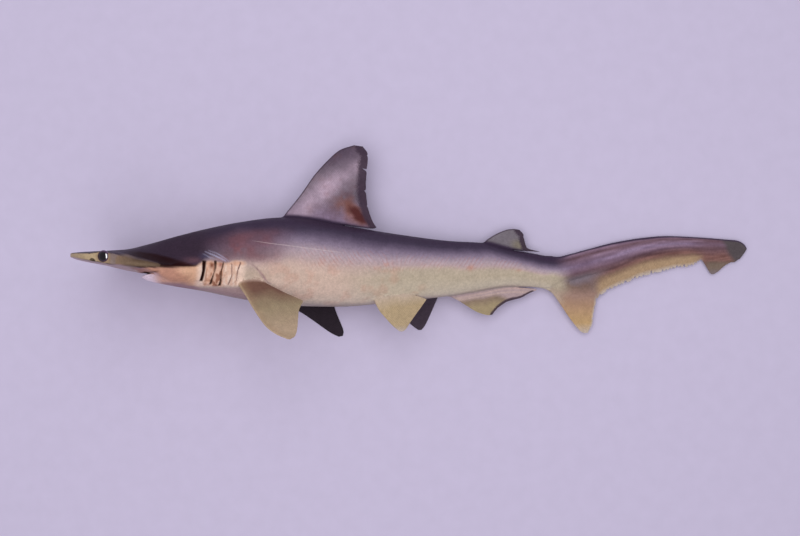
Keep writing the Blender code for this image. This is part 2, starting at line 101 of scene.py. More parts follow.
def cloud(points: Array, size: float, seed: int) -> Array:
    """Smooth seeded noise for blotches.

    Args:
        points: Places, one row each, in millimetres.
        size: Size of a blotch in millimetres.
        seed: Seed of the random lattice.

    Returns:
        A value from 0 to 1 for each place.
    """
    lattice = np.random.default_rng(seed).random((32, 32, 32))
    scaled = points / size + 7.3
    cell = np.floor(scaled).astype(int)
    part = ease(scaled - cell)
    total = np.zeros(len(points))
    for corner in np.ndindex(2, 2, 2):
        share = np.prod(np.where(np.array(corner), part, 1 - part), axis=1)
        total += share * lattice[tuple(((cell + corner) % 32).T)]
    return total


class Profile:
    """A smooth line through (place, value) knots that never swings past them."""

    def __init__(self, *knots: tuple[float, float]) -> None:
        """Finds the slopes at the knots.

        Args:
            *knots: Places in rising order with their values.
        """
        self.at, self.value = np.array(knots, float).T
        step = np.diff(self.at)
        grade = np.diff(self.value) / step
        slope = [grade[0]]
        for before, after in zip(grade[:-1], grade[1:]):
            slope.append(2 * before * after / (before + after) if before * after > 0 else 0.0)
        self.slope = np.array(slope + [grade[-1]])

    def __call__(self, place: Array) -> Array:
        """The line's value at each place.

        Args:
            place: Places, which are held between the first and last knot.

        Returns:
            One value for each place.
        """
        place = np.clip(place, self.at[0], self.at[-1])
        knot = np.clip(np.searchsorted(self.at, place) - 1, 0, len(self.at) - 2)
        step = self.at[knot + 1] - self.at[knot]
        part = (place - self.at[knot]) / step
        rest = 1 - part
        ends = (1 + 2 * part) * rest ** 2 * self.value[knot]
        ends = ends + part * part * (3 - 2 * part) * self.value[knot + 1]
        bend = part * rest ** 2 * self.slope[knot] - part * part * rest * self.slope[knot + 1]
        return ends + bend * step


class Outline:
    """A line of smooth pieces through points of a plane, walked from 0 to 1 by length."""

    def __init__(self, *pieces: list[tuple[float, float]]) -> None:
        """Walks along the pieces.

        Args:
            *pieces: Lists of points; a corner stands where two lists meet.
        """
        walked = []
        for piece in pieces:
            points = np.array(piece, float)
            lead = np.vstack([2 * points[0] - points[1], points, 2 * points[-1] - points[-2]])
            for number in range(1, len(points)):
                before, start, end, after = lead[number - 1:number + 3]
                for part in np.arange(0, 1, 0.05):
                    square, cube = part * part, part ** 3
                    pull = (end - before) * (part - 2 * square + cube) + (after - start) * (cube - square)
                    walked.append(start + (end - start) * (3 * part * part - 2 * cube) + pull / 2)
            walked.append(points[-1])
        self.points = np.array(walked)
        length = np.hypot(*np.diff(self.points, axis=0).T).cumsum()
        self.share = np.concatenate([[0.0], length / length[-1]])

    def __call__(self, share: Array) -> Array:
        """The points at shares of the length, with the two coordinates last."""
        return np.stack([np.interp(share, self.share, column) for column in self.points.T], axis=-1)

    def distance(self, points: Array, beyond: float = -1.0) -> Array:
        """How far each point of the plane lies from the line past a share of its length.

        Args:
            points: Rows of two coordinates.
            beyond: The share, with -1 for the whole line.

        Returns:
            One distance for each point.
        """
        gaps = points[:, None, :] - self.points[self.share > beyond][None, :, :]
        return np.sqrt((gaps ** 2).sum(-1).min(1))


WING_REACH = 75.4
ARCH_LENGTH = 33.0
TAIL_START = 400.0
TAIL_END = 571.8

BACK = Profile(
    (0, 9.4), (1.5, 10.4), (5, 11.5), (16, 12.6), (38, 13.8), (55, 17.9), (80, 25.2), (107, 32.1),
    (134, 37.6), (161, 41.3), (176, 42.0), (190, 40.8), (220, 35.4), (270, 27.4), (312, 22.3),
    (340, 20.8), (366, 14.8), (400, 9.6))
BELLY = Profile(
    (0, 9.0), (1.5, 7.6), (7, 4.8), (26, 0.2), (41, -3.3), (48.5, -4.7), (51.5, -8.6), (56, -11.0),
    (75, -15.3), (100, -19.7), (141, -28.0), (183, -33.0), (217, -33.7), (269, -29.2), (314, -24.6),
    (338, -20.7), (365, -17.0), (385, -17.2), (400, -19.0))
BELLY_BESIDE_JAW = Profile(
    (0, 9.0), (1.5, 7.6), (7, 4.8), (26, 0.2), (41, -3.3), (52, -6.3), (62, -10.6), (75, -15.3), (100, -19.7))
HALF_WIDTH = Profile(
    (33, WING_REACH), (39.5, 75.2), (43.8, 72.2), (50.0, 59.8), (59.6, 45.5), (68.8, 36.2), (77, 31.0),
    (88, 27.6), (100, 27.0), (118, 27.6), (145, 29.3), (175, 30.0), (200, 29.8), (217, 29.2),
    (245, 27.2), (270, 24.7), (320, 18.7), (365, 12.5), (400, 8.3))
WIDEST_RISE = Profile(
    (0, 9.2), (20, 8.3), (37, 7.3), (50, 4.9), (60, 3.0), (70, 1.5), (88, 0.8), (105, 1.6), (130, 3.8),
    (160, 4.6), (190, 3.6), (217, 1.4), (250, -0.4), (300, -1.0), (340, -0.6), (370, -2.0), (400, -4.7))
BLADE_TOP = Profile(
    (0, 9.4), (2, 10.4), (8, 11.2), (28, 11.5), (34, 12.7), (39, 12.6), (42.5, 12.0), (49.4, 9.9),
    (59.6, 6.2), (68.8, 3.1), (77, 1.8), (90, 1.0))
BLADE_BOTTOM = Profile(
    (0, 9.0), (2, 7.8), (14, 5.9), (20, 4.9), (27, 3.6), (33, 2.5), (38, 1.6), (42.5, 0.4), (50, -0.2),
    (69, 0.0), (90, 0.6))
CORE_ABOVE = Profile((0, 60), (36, 50), (50, 42), (62, 36), (75, 31), (92, 28))
CORE_BELOW = Profile((0, 60), (40, 40), (50, 31), (62, 27), (92, 27))
AXIS_HEIGHT = Profile(
    (0, 75), (56, 75), (78, 72.6), (100, 65.0), (125, 54.2), (150, 44.6), (180, 35.4), (215, 29.4),
    (245, 26.7), (270, 24.1), (320, 18.1), (365, 12.0), (400, 8.0), (440, 5.4), (500, 3.9), (575, 2.9))
TAIL_TOP = Profile(
    (400, 9.6), (406, 8.9), (417, 11.2), (432, 15.2), (456, 21.3), (482, 25.5), (502, 27.0), (527, 26.0),
    (554, 24.0), (562.8, 23.2), (566.2, 22.2), (569.5, 19.9), (571.2, 17.7), (571.8, 16.1))
TAIL_BOTTOM = Profile(
    (400, -19.0), (420, -22.6), (440, -28.4), (441.6, -27.4), (445, -24.0), (450, -20.3), (465, -14.0),
    (482, -7.4), (500, -3.0), (510, -1.0), (519, 0.1), (524.5, 1.4), (528, 3.2), (531.9, 6.4),
    (536.6, 0.4), (540.7, -5.9), (542.2, -6.3), (551.4, -0.2), (557.4, 3.5), (562.8, 5.0), (566.2, 7.3),
    (569.5, 11.7), (571.8, 15.0))
TAIL_MUSCLE = Profile(
    (400, -19), (410, -14.0), (429, -8.7), (455, -1.7), (482, 8.7), (518, 14), (560, 15), (572, 15.6))
TAIL_HALF = Profile((400, 8.3), (415, 6.9), (440, 5.4), (475, 3.9), (520, 2.6), (560, 1.4), (572, 0.5))
LATERAL_LINE = Profile(
    (110, 22.6), (128, 21.8), (155, 18.8), (184, 15.7), (216, 12.2), (260, 9.6), (310, 7.4), (360, 3.6),
    (400, -1.5))


class Flank(Enum):
    """The two sides of the shark, by the sign of their side measure."""

    LEFT = 1
    RIGHT = -1


@dataclass
class BodyAxis:
    """The bent axis of the body: level in the stiff head, bent down in the neck, resting behind it."""

    snout_x: float = -261.0
    step: float = 0.5

    def __post_init__(self) -> None:
        """Follows the axis from the snout to the tail by its height over the floor."""
        self.station = np.arange(0, 580, self.step)
        self.height = AXIS_HEIGHT(self.station)
        self.climb = np.gradient(self.height, self.station)
        forward = np.sqrt(1 - self.climb ** 2)
        steps = (forward[1:] + forward[:-1]) / 2 * self.step
        self.along = np.concatenate([[0], np.cumsum(steps)]) + self.snout_x
        self.shift = np.zeros(3)

    def frame(self, station: Array) -> tuple[Array, Array, Array]:
        """Finds how the axis runs at some stations.

        Args:
            station: Stations in millimetres.

        Returns:
            Points of the axis, its direction towards the tail and the direction of the left flank.
        """
        x, z, climb = (
            np.interp(station, self.station, line) for line in (self.along, self.height, self.climb))
        forward, none = np.sqrt(1 - climb ** 2), np.zeros_like(x)
        return (
            np.stack([x, none, z], -1), np.stack([forward, none, climb], -1),
            np.stack([-climb, none, forward], -1))

    def to_room(self, body: Array) -> Array:
        """Bends places of the body onto the axis.

        Args:
            body: Rows of station, side and rise.

        Returns:
            Rows of room coordinates in metres, pressed flat where they would sink in the floor.
        """
        centre, _, left = self.frame(body[:, 0])
        room = centre + left * body[:, 1:2]
        room[:, 1] += body[:, 2]
        room += self.shift
        room[:, 2] = np.maximum(room[:, 2], 0.0)
        return room * MM

    def to_body(self, room: Array) -> Array:
        """Finds the places of the body that were bent to places of the room.

        Args:
            room: Rows of unshifted room coordinates in millimetres.

        Returns:
            Rows of station, side and rise.
        """
        station = np.interp(room[:, 0], self.along, self.station)
        for _ in range(12):
            centre, forward, left = self.frame(station)
            station = np.clip(station + ((room - centre) * forward).sum(1), 0, 575)
        centre, forward, left = self.frame(station)
        gap = room - centre
        return np.stack([station, (gap * left).sum(1), gap[:, 1]], -1)

    def centre_on(self, place: tuple[float, float, float], low: Vector, high: Vector) -> None:
        """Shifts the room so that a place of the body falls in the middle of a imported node's box."""
        at = self.to_room(np.array([place], float))[0] / MM
        self.shift = (np.array(low) + np.array(high)) / 2 / MM - at


AXIS = BodyAxis()


def half_width(station: Array) -> Array:
    """Half the body's width: a broad arch in front of the eyes, then the measured line."""
    arch = 1 - (1 - np.clip(station / ARCH_LENGTH, 0, 1)) ** 2
    return np.where(station < ARCH_LENGTH, WING_REACH * arch ** (1 / 2.2), HALF_WIDTH(station))


def flank_side(station: Array, rise: Array) -> Array:
    """Finds the half width of the trunk at a rise.

    Args:
        station: Stations in millimetres.
        rise: Rises in millimetres.

    Returns:
        The side of the skin there.
    """
    middle = WIDEST_RISE(station)
    limit = np.where(rise > middle, BACK(station), BELLY(station))
    lift = np.clip(np.abs((rise - middle) / (limit - middle)), 0, 0.999)
    return half_width(station) * (1 - lift ** (2 / 0.92)) ** 0.5


@dataclass
class Crease:
    """A groove in the skin along a line of (station, rise) points, such as a gill slit.

    Widths and strengths are given for the line's start, middle and end.
    """

    line: tuple[tuple[float, float], ...]
    widths: tuple[float, float, float]
    depth: float
    lip: float = 0.0
    strengths: tuple[float, float, float] = (1.0, 1.0, 1.0)
    end: float = 1.6

    def measure(self, body: Array) -> tuple[Array, Array]:
        """Finds how places of both flanks lie on the line.

        Args:
            body: Rows of station, side and rise.

        Returns:
            The distance from the line, which is positive towards the tail, and the share of the
            line's length, which goes below 0 and above 1 past its ends.
        """
        points = np.array(self.line, float)
        place = body[:, [0, 2]]
        best, signed, along = (np.full(len(body), value) for value in (1e9, 0.0, 0.0))
        walked = 0.0
        for start, end in zip(points, points[1:]):
            run = end - start
            length = float(np.hypot(*run))
            gap = place - start
            passed = gap @ run / length
            away = gap - np.clip(passed, 0, length)[:, None] * run / length
            distance = np.hypot(*away.T)
            nearer = distance < best
            turn = np.sign(run[0] * gap[:, 1] - run[1] * gap[:, 0])
            best = np.where(nearer, distance, best)
            signed = np.where(nearer, turn * distance, signed)
            along = np.where(nearer, walked + np.clip(passed, -9, length + 9), along)
            walked += length
        share = np.where(np.abs(body[:, 1]) > 4, along / walked, 9.0)
        return signed, share

    def _presence(self, share: Array) -> Array:
        """1 along the line and 0 past its ends."""
        soft = self.end / float(np.hypot(*(np.array(self.line[0]) - self.line[-1])))
        return window(share, 0, 1, soft)

    def relief(self, body: Array) -> Array:
        """Height of the skin over its smooth form near the crease.

        Args:
            body: Rows of station, side and rise.

        Returns:
            Millimetres, below 0 in the groove.
        """
        signed, share = self.measure(body)
        width = np.interp(share, (0, 0.5, 1), self.widths)
        dip = -self.depth * (width / max(self.widths)) * np.exp(-np.abs(signed / width) ** 3)
        lip = self.lip * hump(signed, -2.1 * width - 0.4, 1.3 + width)
        return self._presence(share) * (dip + lip)

    def shade(self, body: Array, spread: float = 1.0) -> Array:
        """Strength from 0 to 1 of the paint along the crease: painted shade in slits and creases, painted
        highlight on folds.

        Args:
            body: Rows of station, side and rise.
            spread: How much wider than the groove the painted mark is.

        Returns:
            The strength at each place.
        """
        signed, share = self.measure(body)
        width = np.interp(share, (0, 0.5, 1), self.widths) * spread
        strength = np.interp(share, (0, 0.5, 1), self.strengths)
        return self._presence(share) * strength * ease(1.6 - np.abs(signed) / width)


GILL_SLITS = (
    Crease(((94.8, 5.0), (94.2, -3.0), (93.2, -11.4)), (1.35, 1.0, 1.05), 2.5, 0.7),
    Crease(((103.6, 4.8), (103.5, -0.5), (102.2, -7.0), (101.5, -14.0)), (0.75, 0.4, 0.7), 2.6, 0.9,
           (1.0, 0.35, 1.0)),
    Crease(((109.3, 3.6), (107.6, -3.7), (108.2, -11.0), (108.3, -15.2)), (0.5, 0.42, 0.9), 2.6, 0.9,
           (0.6, 0.4, 1.0)),
    Crease(((115.8, 2.8), (116.3, -6.5), (115.0, -14.6)), (0.42, 0.4, 0.5), 1.6, 0.8, (0.4, 0.3, 0.6)),
    Crease(((124.3, 3.4), (121.6, -2.7), (121.0, -11.8)), (0.55, 0.5, 0.42), 1.6, 0.7, (0.75, 0.55, 0.35)),
)
# Low wet ridges above the gills, which carry painted highlights
FOLDS = (
    Crease(((95.5, 12.4), (101.5, 10.0), (107.0, 7.0), (111.3, 4.4)), (0.3, 0.5, 0.4), -0.4, 0.0,
           (0.5, 1.0, 0.9)),
    Crease(((98.5, 13.4), (104.5, 11.0), (109.5, 7.6), (113.5, 4.6)), (0.3, 0.42, 0.3), -0.35, 0.0,
           (0.3, 0.7, 0.6)),
    Crease(((93.8, 10.6), (98.5, 8.2), (103.0, 6.4)), (0.3, 0.4, 0.3), -0.3, 0.0, (0.3, 0.55, 0.3)),
)
ROOT_CREASES = (
    Crease(((131.5, 3.2), (136.5, 0.4), (140.5, -3.2), (144.5, -7.0), (147.5, -10.8)), (0.5, 0.6, 0.6),
           0.9, 0.35, (0.3, 0.8, 1.0), 3.0),
    Crease(((140.0, -4.8), (145.8, -9.8), (152.0, -14.0)), (0.4, 0.45, 0.5), 0.5, 0.0, (0.2, 0.6, 0.9), 3.0),
)


@dataclass
class Mouth:
    """The crescent mouth on the underside: the jaw's front edge is bowed and undercut."""

    tip: float = 48.5
    lip: float = 51.5
    bow: float = 13.0
    reach: float = 18.0
    undercut: float = 6.5

    def jaw_station(self, station: Array, side: Array) -> Array:
        """Station on the jaw's middle line that has the same stage of the mouth's edge."""
        back = self.bow * np.clip(np.abs(side) / self.reach, 0, 1) ** 2
        return station - back * (1 - ease((station - 63) / 14))

    def belly(self, station: Array, side: Array) -> Array:
        """Rise of the belly line, with the mouth's step only between its corners.

        Args:
            station: Stations in millimetres.
            side: Sides in millimetres.

        Returns:
            One rise for each place.
        """
        beside = ease((np.abs(side) - self.reach + 1.5) / 5.0)
        near = np.where(station < 75, BELLY_BESIDE_JAW(station), BELLY(station))
        return mix(BELLY(self.jaw_station(station, side)), near, beside)

    def hollow(self, station: Array, side: Array) -> Array:
        """How deep a place lies in the mouth, from 0 to 1.

        Args:
            station: Stations in millimetres.
            side: Sides in millimetres.

        Returns:
            One share for each place.
        """
        stage = self.jaw_station(station, side)
        opening = ease((stage - self.tip - 0.2) / 0.7) * (1 - ease((stage - self.tip - 0.9) / 1.9))
        return opening * (1 - ease((np.abs(side) - self.reach + 4) / 5.0))


MOUTH = Mouth()


@dataclass
class EyeOrbit:
    """The eye at a wing's tip: its ball, the lid's edge over it and the folds behind it."""

    station: float = 38.9
    side: float = 73.0
    rise: float = 7.9
    ball: tuple[float, float, float] = (4.2, 2.4, 4.6)
    opening: float = 0.885
    lid: float = 0.22
    fade: float = 2.6

    def stretch(self, body: Array) -> Array:
        """Distance from the eye's own axis, 1 on the lid's edge and large away from the wing tips.

        Args:
            body: Rows of station, side and rise.

        Returns:
            One distance for each place, as a multiple of the lid's opening.
        """
        along = (body[:, 0] - self.station) / (self.ball[0] * self.opening)
        up = (body[:, 2] - self.rise) / (self.ball[2] * self.opening)
        return np.where(np.abs(body[:, 1]) > 60, np.hypot(along, up), 99.0)

    def shape(self, body: Array) -> Array:
        """Lays the lid's rim on the ball, hides the skin inside it and folds the skin behind it.

        Args:
            body: Rows of station, side and rise.

        Returns:
            The rows with their sides moved.
        """
        stretch = self.stretch(body)
        ball = self.side + self.ball[1] * np.sqrt(np.clip(1 - (stretch * self.opening) ** 2, 0.0, 1))
        edge = self.side + self.ball[1] * (1 - self.opening ** 2) ** 0.5 + self.lid
        side = np.abs(body[:, 1])
        outside = (stretch - 1) * 4.0
        folds = 0.14 * np.sin(body[:, 0] * 2 * pi / 1.15) * window(body[:, 0], 43.6, 48.5, 1.5)
        rim = 0.18 * hump(outside, 0.5, 0.5)
        skin = mix(edge, side + folds * (stretch < 2.6), ease(outside / self.fade)) + rim
        inner = mix(ball - 0.6, edge, ease((stretch - 0.93) / 0.07))
        made = np.where(stretch < 1, inner, skin)
        near = ease((side - edge + 4.0) / 2.0) * (stretch < 3)
        shaped = body.copy()
        shaped[:, 1] = np.sign(body[:, 1]) * mix(side, made, near)
        return shaped


ORBIT = EyeOrbit()

# Station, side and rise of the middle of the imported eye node, by which the skin is lined up
NODE_EYE = (38.9, 70.3, 7.9)


@dataclass
class Nostril:
    """The nostril near the wing tip."""

    place: tuple[float, float, float] = (30.6, 75.3, 3.5)
    radius: float = 1.2
    depth: float = 1.9

    def settle(self, body: Array) -> None:
        """Moves the nostril's middle to the nearest place of the smooth skin."""
        gap = np.linalg.norm(body - self.place, axis=1)
        self.place = tuple(body[gap.argmin()])

    def distance(self, body: Array) -> Array:
        """Distance of places from the nostril's middle, shorter along the edge it is drawn out on."""
        mirrored = np.stack([body[:, 0], np.abs(body[:, 1]), body[:, 2]], -1)
        return np.linalg.norm((mirrored - self.place) / (1.35, 1, 1), axis=1)

    def relief(self, body: Array) -> Array:
        """Height of the skin over its smooth form."""
        away = self.distance(body)
        return 0.25 * hump(away, self.radius + 0.9, 0.5) - self.depth * np.exp(-(away / self.radius) ** 4)


NOSTRIL = Nostril()


@dataclass
class BodyForm:
    """The smooth body without paired fins, drawn as rings, from the snout to the tail's tip."""

    columns: int = 120
    spread: float = 50.0
    shares: int = 49
    # How far the finer net reaches from each detail, when it is split for the first and second time
    eye_reach: tuple[float, float] = (3.5, 1.6)
    mouth_reach: tuple[float, float] = (2.6, 1.9)
    slit_reach: tuple[float, float] = (3.0, 1.5)
    fray_reach: tuple[float, float] = (0.35, 0.12)
    fold_reach: float = 1.8
    snout_reach: float = 6.5

    def __post_init__(self) -> None:
        """Spaces the rings, closer in the head, and the points of each ring."""
        self.stations = np.concatenate([
            [0.05, 0.2, 0.5, 0.9, 1.5, 2.2, 3.1, 4.2, 5.5, 7.0], np.arange(8.3, 46, 1.25),
            np.arange(46, 90, 0.85), np.arange(90, 127, 0.75), np.arange(127, 392, 2.0),
            np.arange(392, TAIL_END - 2.2, 1.2), [TAIL_END - 2, TAIL_END - 1.2, TAIL_END - 0.5, TAIL_END]])
        self.knots = np.concatenate([np.linspace(0.01, 0.05, 3)[:2], self.stations[self.stations < 405]])
        self.turns = {sign: self._turn_table(sign) for sign in (1, -1)}

    def _rise(self, station: Array, turn: Array, sign: Array) -> tuple[Array, Array]:
        """Finds the places of a ring.

        Args:
            station: Stations of the rings.
            turn: Turn from the flank at 0 to the middle plane at a right angle.
            sign: 1 above the flank and -1 below it.

        Returns:
            The side and the rise.
        """
        side = half_width(station) * np.cos(turn)
        upper, lower = self._upper_and_lower(station, side)
        middle = WIDEST_RISE(station)
        power = mix(0.28, 0.92, ease((station - 50) / 55))
        limit = np.where(sign > 0, upper, lower)
        return side, middle + (limit - middle) * np.sin(turn) ** power

    @staticmethod
    def _upper_and_lower(station: Array, side: Array) -> tuple[Array, Array]:
        """Finds the skin above and below a place, before its edge is rounded.

        Args:
            station: Stations in millimetres.
            side: Sides in millimetres.

        Returns:
            The upper and the lower rise.
        """
        rises = []
        for outline, core, blade, start, length in (
                (BACK(station), CORE_ABOVE, BLADE_TOP, 72, 30),
                (MOUTH.belly(station, side), CORE_BELOW, BLADE_BOTTOM, 50, 28)):
            swell = (0.5 + 0.5 * np.cos(pi * np.minimum(np.abs(side) / core(station), 1.0))) ** 0.65
            fill = mix(swell, 1.0, ease((station - start) / length))
            edge = mix(blade(station), WIDEST_RISE(station), ease((station - 80) / 20))
            rises.append(mix(edge, outline, fill))
        return rises[0], rises[1]

    def _turn_table(self, sign: int) -> Array:
        """Finds turns that space the points of each quarter ring by length, closer at a wing's tip.

        Args:
            sign: 1 above the flank and -1 below it.

        Returns:
            One row of turns for each knot.
        """
        station = self.knots[:, None]
        dense = np.linspace(0, 1, 260)[None, :]
        turn = pi / 2 * dense ** 3
        side, rise = self._rise(station, turn, np.full(turn.shape, sign))
        length = np.cumsum(np.hypot(np.diff(side, axis=1), np.diff(rise, axis=1)), axis=1)
        length = np.concatenate([np.zeros((len(station), 1)), length], axis=1)
        rows = []
        for k, value in enumerate(self.knots):
            bunch = mix(1.35, 1.0, ease((value - 45) / 30))
            wanted = np.linspace(0, 1, self.shares) ** bunch * length[k, -1]
            rows.append(np.interp(wanted, length[k], turn[0]))
        return np.array(rows)

    def _turn(self, station: Array, share: Array, sign: int) -> Array:
        """Looks the turn up between the table's stations and shares.

        Args:
            station: Stations in millimetres.
            share: Shares of a quarter ring from the flank.
            sign: 1 above the flank and -1 below it.

        Returns:
            One turn for each place.
        """
        row = np.clip(np.searchsorted(self.knots, station) - 1, 0, len(self.knots) - 2)
        low, high = self.knots[row], self.knots[row + 1]
        across = np.clip((station - low) / (high - low), 0, 1)
        place = np.clip(share, 0, 1) * (self.shares - 1)
        column = np.clip(place.astype(int), 0, self.shares - 2)
        part = place - column
        table = self.turns[sign]
        first = mix(table[row, column], table[row, column + 1], part)
        return mix(first, mix(table[row + 1, column], table[row + 1, column + 1], part), across)

    @staticmethod
    def _fray(station: Array) -> Array:
        """Uneven lower edge of the tail's web, split into a comb between its fin rays.

        Args:
            station: Stations in millimetres.

        Returns:
            How far the edge is raised.
        """
        rng = np.random.default_rng(11)
        split = 430 + np.cumsum(rng.uniform(2.1, 4.2, 50))
        depth = rng.uniform(1.5, 3.6, 50) * (rng.random(50) > 0.1)
        width = rng.uniform(0.65, 1.15, 50)
        cut = (depth * np.exp(-np.abs((station[..., None] - split) / width) ** 1.6)).sum(-1)
        droop = 0.35 * np.sin(station * 1.9) * np.sin(station * 0.73)
        worn = window(station, 441.5, 529, 2) * mix(0.85, 1.0, ease((station - 470) / 30))
        return (cut - 0.5 + droop) * (worn + 0.3 * window(station, 545, 567, 3))

    @staticmethod
    def _front_scallop(station: Array, side: Array) -> Array:
        """Notches the hammer's front edge in the middle, beside it and at the nostrils.

        Args:
            station: Stations before the shift.
            side: Sides in millimetres.

        Returns:
            The shift of the stations.
        """
        reach = np.abs(side)
        wave = 2.4 * hump(reach, 0, 9) - hump(reach, 22, 8) + 1.8 * hump(reach, 39, 6)
        return (wave + 1.2 * hump(reach, 66, 4)) * (1 - ease(station / 34))

    def skin(self, station: Array, column: Array) -> Array:
        """Places on the smooth skin.

        Args:
            station: Stations before the front edge is scalloped.
            column: Ring places: 0 on the back, 1 the left flank, 2 the belly and 3 the right flank.

        Returns:
            Rows of station, side and rise.
        """
        quarter = np.floor(column).astype(int) % 4
        part = column - np.floor(column)
        share = np.where(quarter % 2 == 0, 1 - part, part)
        above = (quarter == 0) | (quarter == 3)
        turn = np.where(above, self._turn(station, share, 1), self._turn(station, share, -1))
        side, rise = self._rise(station, turn, np.where(above, 1, -1))
        side = side * np.where(quarter < 2, 1, -1)
        moved = station + self._front_scallop(station, side)
        moved = moved + MOUTH.undercut * MOUTH.hollow(station, side) * np.where(above, 0, 1)
        ring = np.stack([moved, side, rise], -1)
        depth = np.minimum(column, 4 - column) / 2
        down = mix((1 - np.cos(pi * depth)) / 2, depth, 0.6 * ease((station - 400) / 30))
        top, muscle = TAIL_TOP(station), TAIL_MUSCLE(station)
        bottom = np.minimum(TAIL_BOTTOM(station) + self._fray(station), top - 0.6)
        height = mix(top, bottom, down)
        deep = np.clip((top - height) / (top - np.minimum(muscle, top - 0.5)), 0, 1)
        half = np.maximum(TAIL_HALF(station) * (4 * deep * (1 - deep)) ** 0.5, mix(0.7, 0.28, down))
        half = np.where((down < 1e-6) | (down > 1 - 1e-6), 0.0, half)
        tail = np.stack([station, half * np.where(column < 2, 1, -1), height], -1)
        # The trunk's rings pass over into the tail's blade before station 400
        return mix(ring, tail, ease((station - 386) / 14)[:, None])

    def wants_detail(self, station: Array, column: Array, level: int) -> Array:
        """Says which cells of the net are split once more.

        Args:
            station: Stations of the cells.
            column: Their ring places.
            level: How often they were split before.

        Returns:
            True for each cell to split.
        """
        body = self.skin(station, column)
        eye = (ORBIT.stretch(body) - 1) * 4
        wanted = (np.minimum(eye, NOSTRIL.distance(body) - 1.5) < self.eye_reach[level]) & (eye > -3)
        stage = MOUTH.jaw_station(station, body[:, 1])
        below = (column > 1.08) & (column < 2.92)
        wanted |= (np.abs(stage - 50.1) < self.mouth_reach[level]) & below & (np.abs(body[:, 1]) < 20)
        wanted |= (station > 441) & (station < 532) & (np.abs(column - 2) < self.fray_reach[level])
        creases = [(slit, self.slit_reach[level]) for slit in GILL_SLITS]
        if level == 0:
            wanted |= station < self.snout_reach
            creases += [(crease, self.fold_reach) for crease in FOLDS + ROOT_CREASES]
        for crease, reach in creases:
            signed, share = crease.measure(body)
            wanted |= (np.abs(signed) < reach) & (np.abs(share - 0.5) < 0.6)
        return wanted

    def net(self) -> tuple[Array, Array]:
        """The net of the skin, finer where there is detail.

        Returns:
            Rows of station and ring place, and the triangles as rows of three indices.
        """
        net = bmesh.new()
        rows = []
        for station in self.stations:
            rows.append([
                net.verts.new((station, 4 * k / self.columns * self.spread, 0)) for k in range(self.columns)])
        for ring, after in zip(rows, rows[1:]):
            for k in range(self.columns):
                net.faces.new((ring[k - 1], after[k - 1], after[k], ring[k]))
        for level in range(2):
            centres = np.array([face.calc_center_median() for face in net.faces])
            spans = np.array([
                max(corner.co.y for corner in face.verts) - min(corner.co.y for corner in face.verts)
                for face in net.faces])
            wanted = self.wants_detail(centres[:, 0], centres[:, 1] / self.spread, level)
            wanted &= spans < self.spread
            edges = {edge for face, chosen in zip(net.faces, wanted) if chosen for edge in face.edges}
            bmesh.ops.subdivide_edges(net, edges=list(edges), cuts=1, use_grid_fill=True)
        bmesh.ops.triangulate(net, faces=net.faces)
        net.verts.index_update()
        places = np.array([corner.co for corner in net.verts])[:, :2] / (1, self.spread)
        faces = [[corner.index for corner in face.verts] for face in net.faces]
        for level, step in ((places[:, 0].min(), 1), (places[:, 0].max(), -1)):
            ring = np.nonzero(np.abs(places[:, 0] - level) < 1e-5)[0]
            ring = ring[np.argsort(places[ring, 1])][::step]
            faces += [[ring[0], ring[k], ring[k + 1]] for k in range(1, len(ring) - 1)]
        net.free()
        return places, np.array(faces)


def corner_normals(places: Array, faces: Array) -> Array:
    """Outward directions at the points of a net of triangles.

    Args:
        places: Rows of coordinates.
        faces: Rows of three indices.

    Returns:
        Rows of unit normals.
    """
    first, second, third = (places[faces[:, k]] for k in range(3))
    normal = np.cross(second - first, third - first)
    total = np.zeros_like(places)
    for k in range(3):
        for axis in range(3):
            total[:, axis] += np.bincount(faces[:, k], normal[:, axis], len(places))
    return total / np.maximum(np.linalg.norm(total, axis=1, keepdims=True), 1e-12)


def relax(places: Array, edges: Array, weight: Array, rounds: int) -> Array:
    """Smooths a net by moving points to the mean of their neighbours.

    Args:
        places: Rows of coordinates.
        edges: Rows of two indices.
        weight: Strength from 0 to 1 for each point.
        rounds: How often it is done.

    Returns:
        The moved rows.
    """
    count = np.bincount(edges.ravel(), minlength=len(places))
    for _ in range(rounds):
        mean = np.zeros_like(places)
        for axis in range(3):
            mean[:, axis] = np.bincount(edges[:, 0], places[edges[:, 1], axis], len(places))
            mean[:, axis] += np.bincount(edges[:, 1], places[edges[:, 0], axis], len(places))
        mean /= np.maximum(count, 1)[:, None]
        places = places + (mean - places) * (weight * 0.6)[:, None]
    return places


def mesh_from(name: str, places: Array, faces: Array) -> bpy.types.Mesh:
    """Makes a mesh.

    Args:
        name: The mesh's name.
        places: Rows of coordinates.
        faces: Rows of indices.

    Returns:
        The mesh.
    """
    mesh = bpy.data.meshes.new(name)
    mesh.from_pydata(places.tolist(), [], faces.tolist())
    mesh.update()
    return mesh


def hang(name: str, data: bpy.types.ID) -> bpy.types.Object:
    """Puts a mesh, light or camera in the scene.

    Args:
        name: The object's name.
        data: The mesh, light or camera.

    Returns:
        The new object.
    """
    thing = bpy.data.objects.new(name, data)
    bpy.context.scene.collection.objects.link(thing)
    return thing


def points_of(mesh: bpy.types.Mesh) -> Array:
    """Reads a mesh's points.

    Args:
        mesh: The mesh.

    Returns:
        One row of coordinates for each point.
    """
    flat = np.zeros(len(mesh.vertices) * 3)
    mesh.vertices.foreach_get("co", flat)
    return flat.reshape(-1, 3)


def store(mesh: bpy.types.Mesh, name: str, rows: Array) -> None:
    """Keeps three numbers for every point of a mesh."""
    mesh.attributes.new(name, "FLOAT_VECTOR", "POINT").data.foreach_set("vector", rows.ravel())


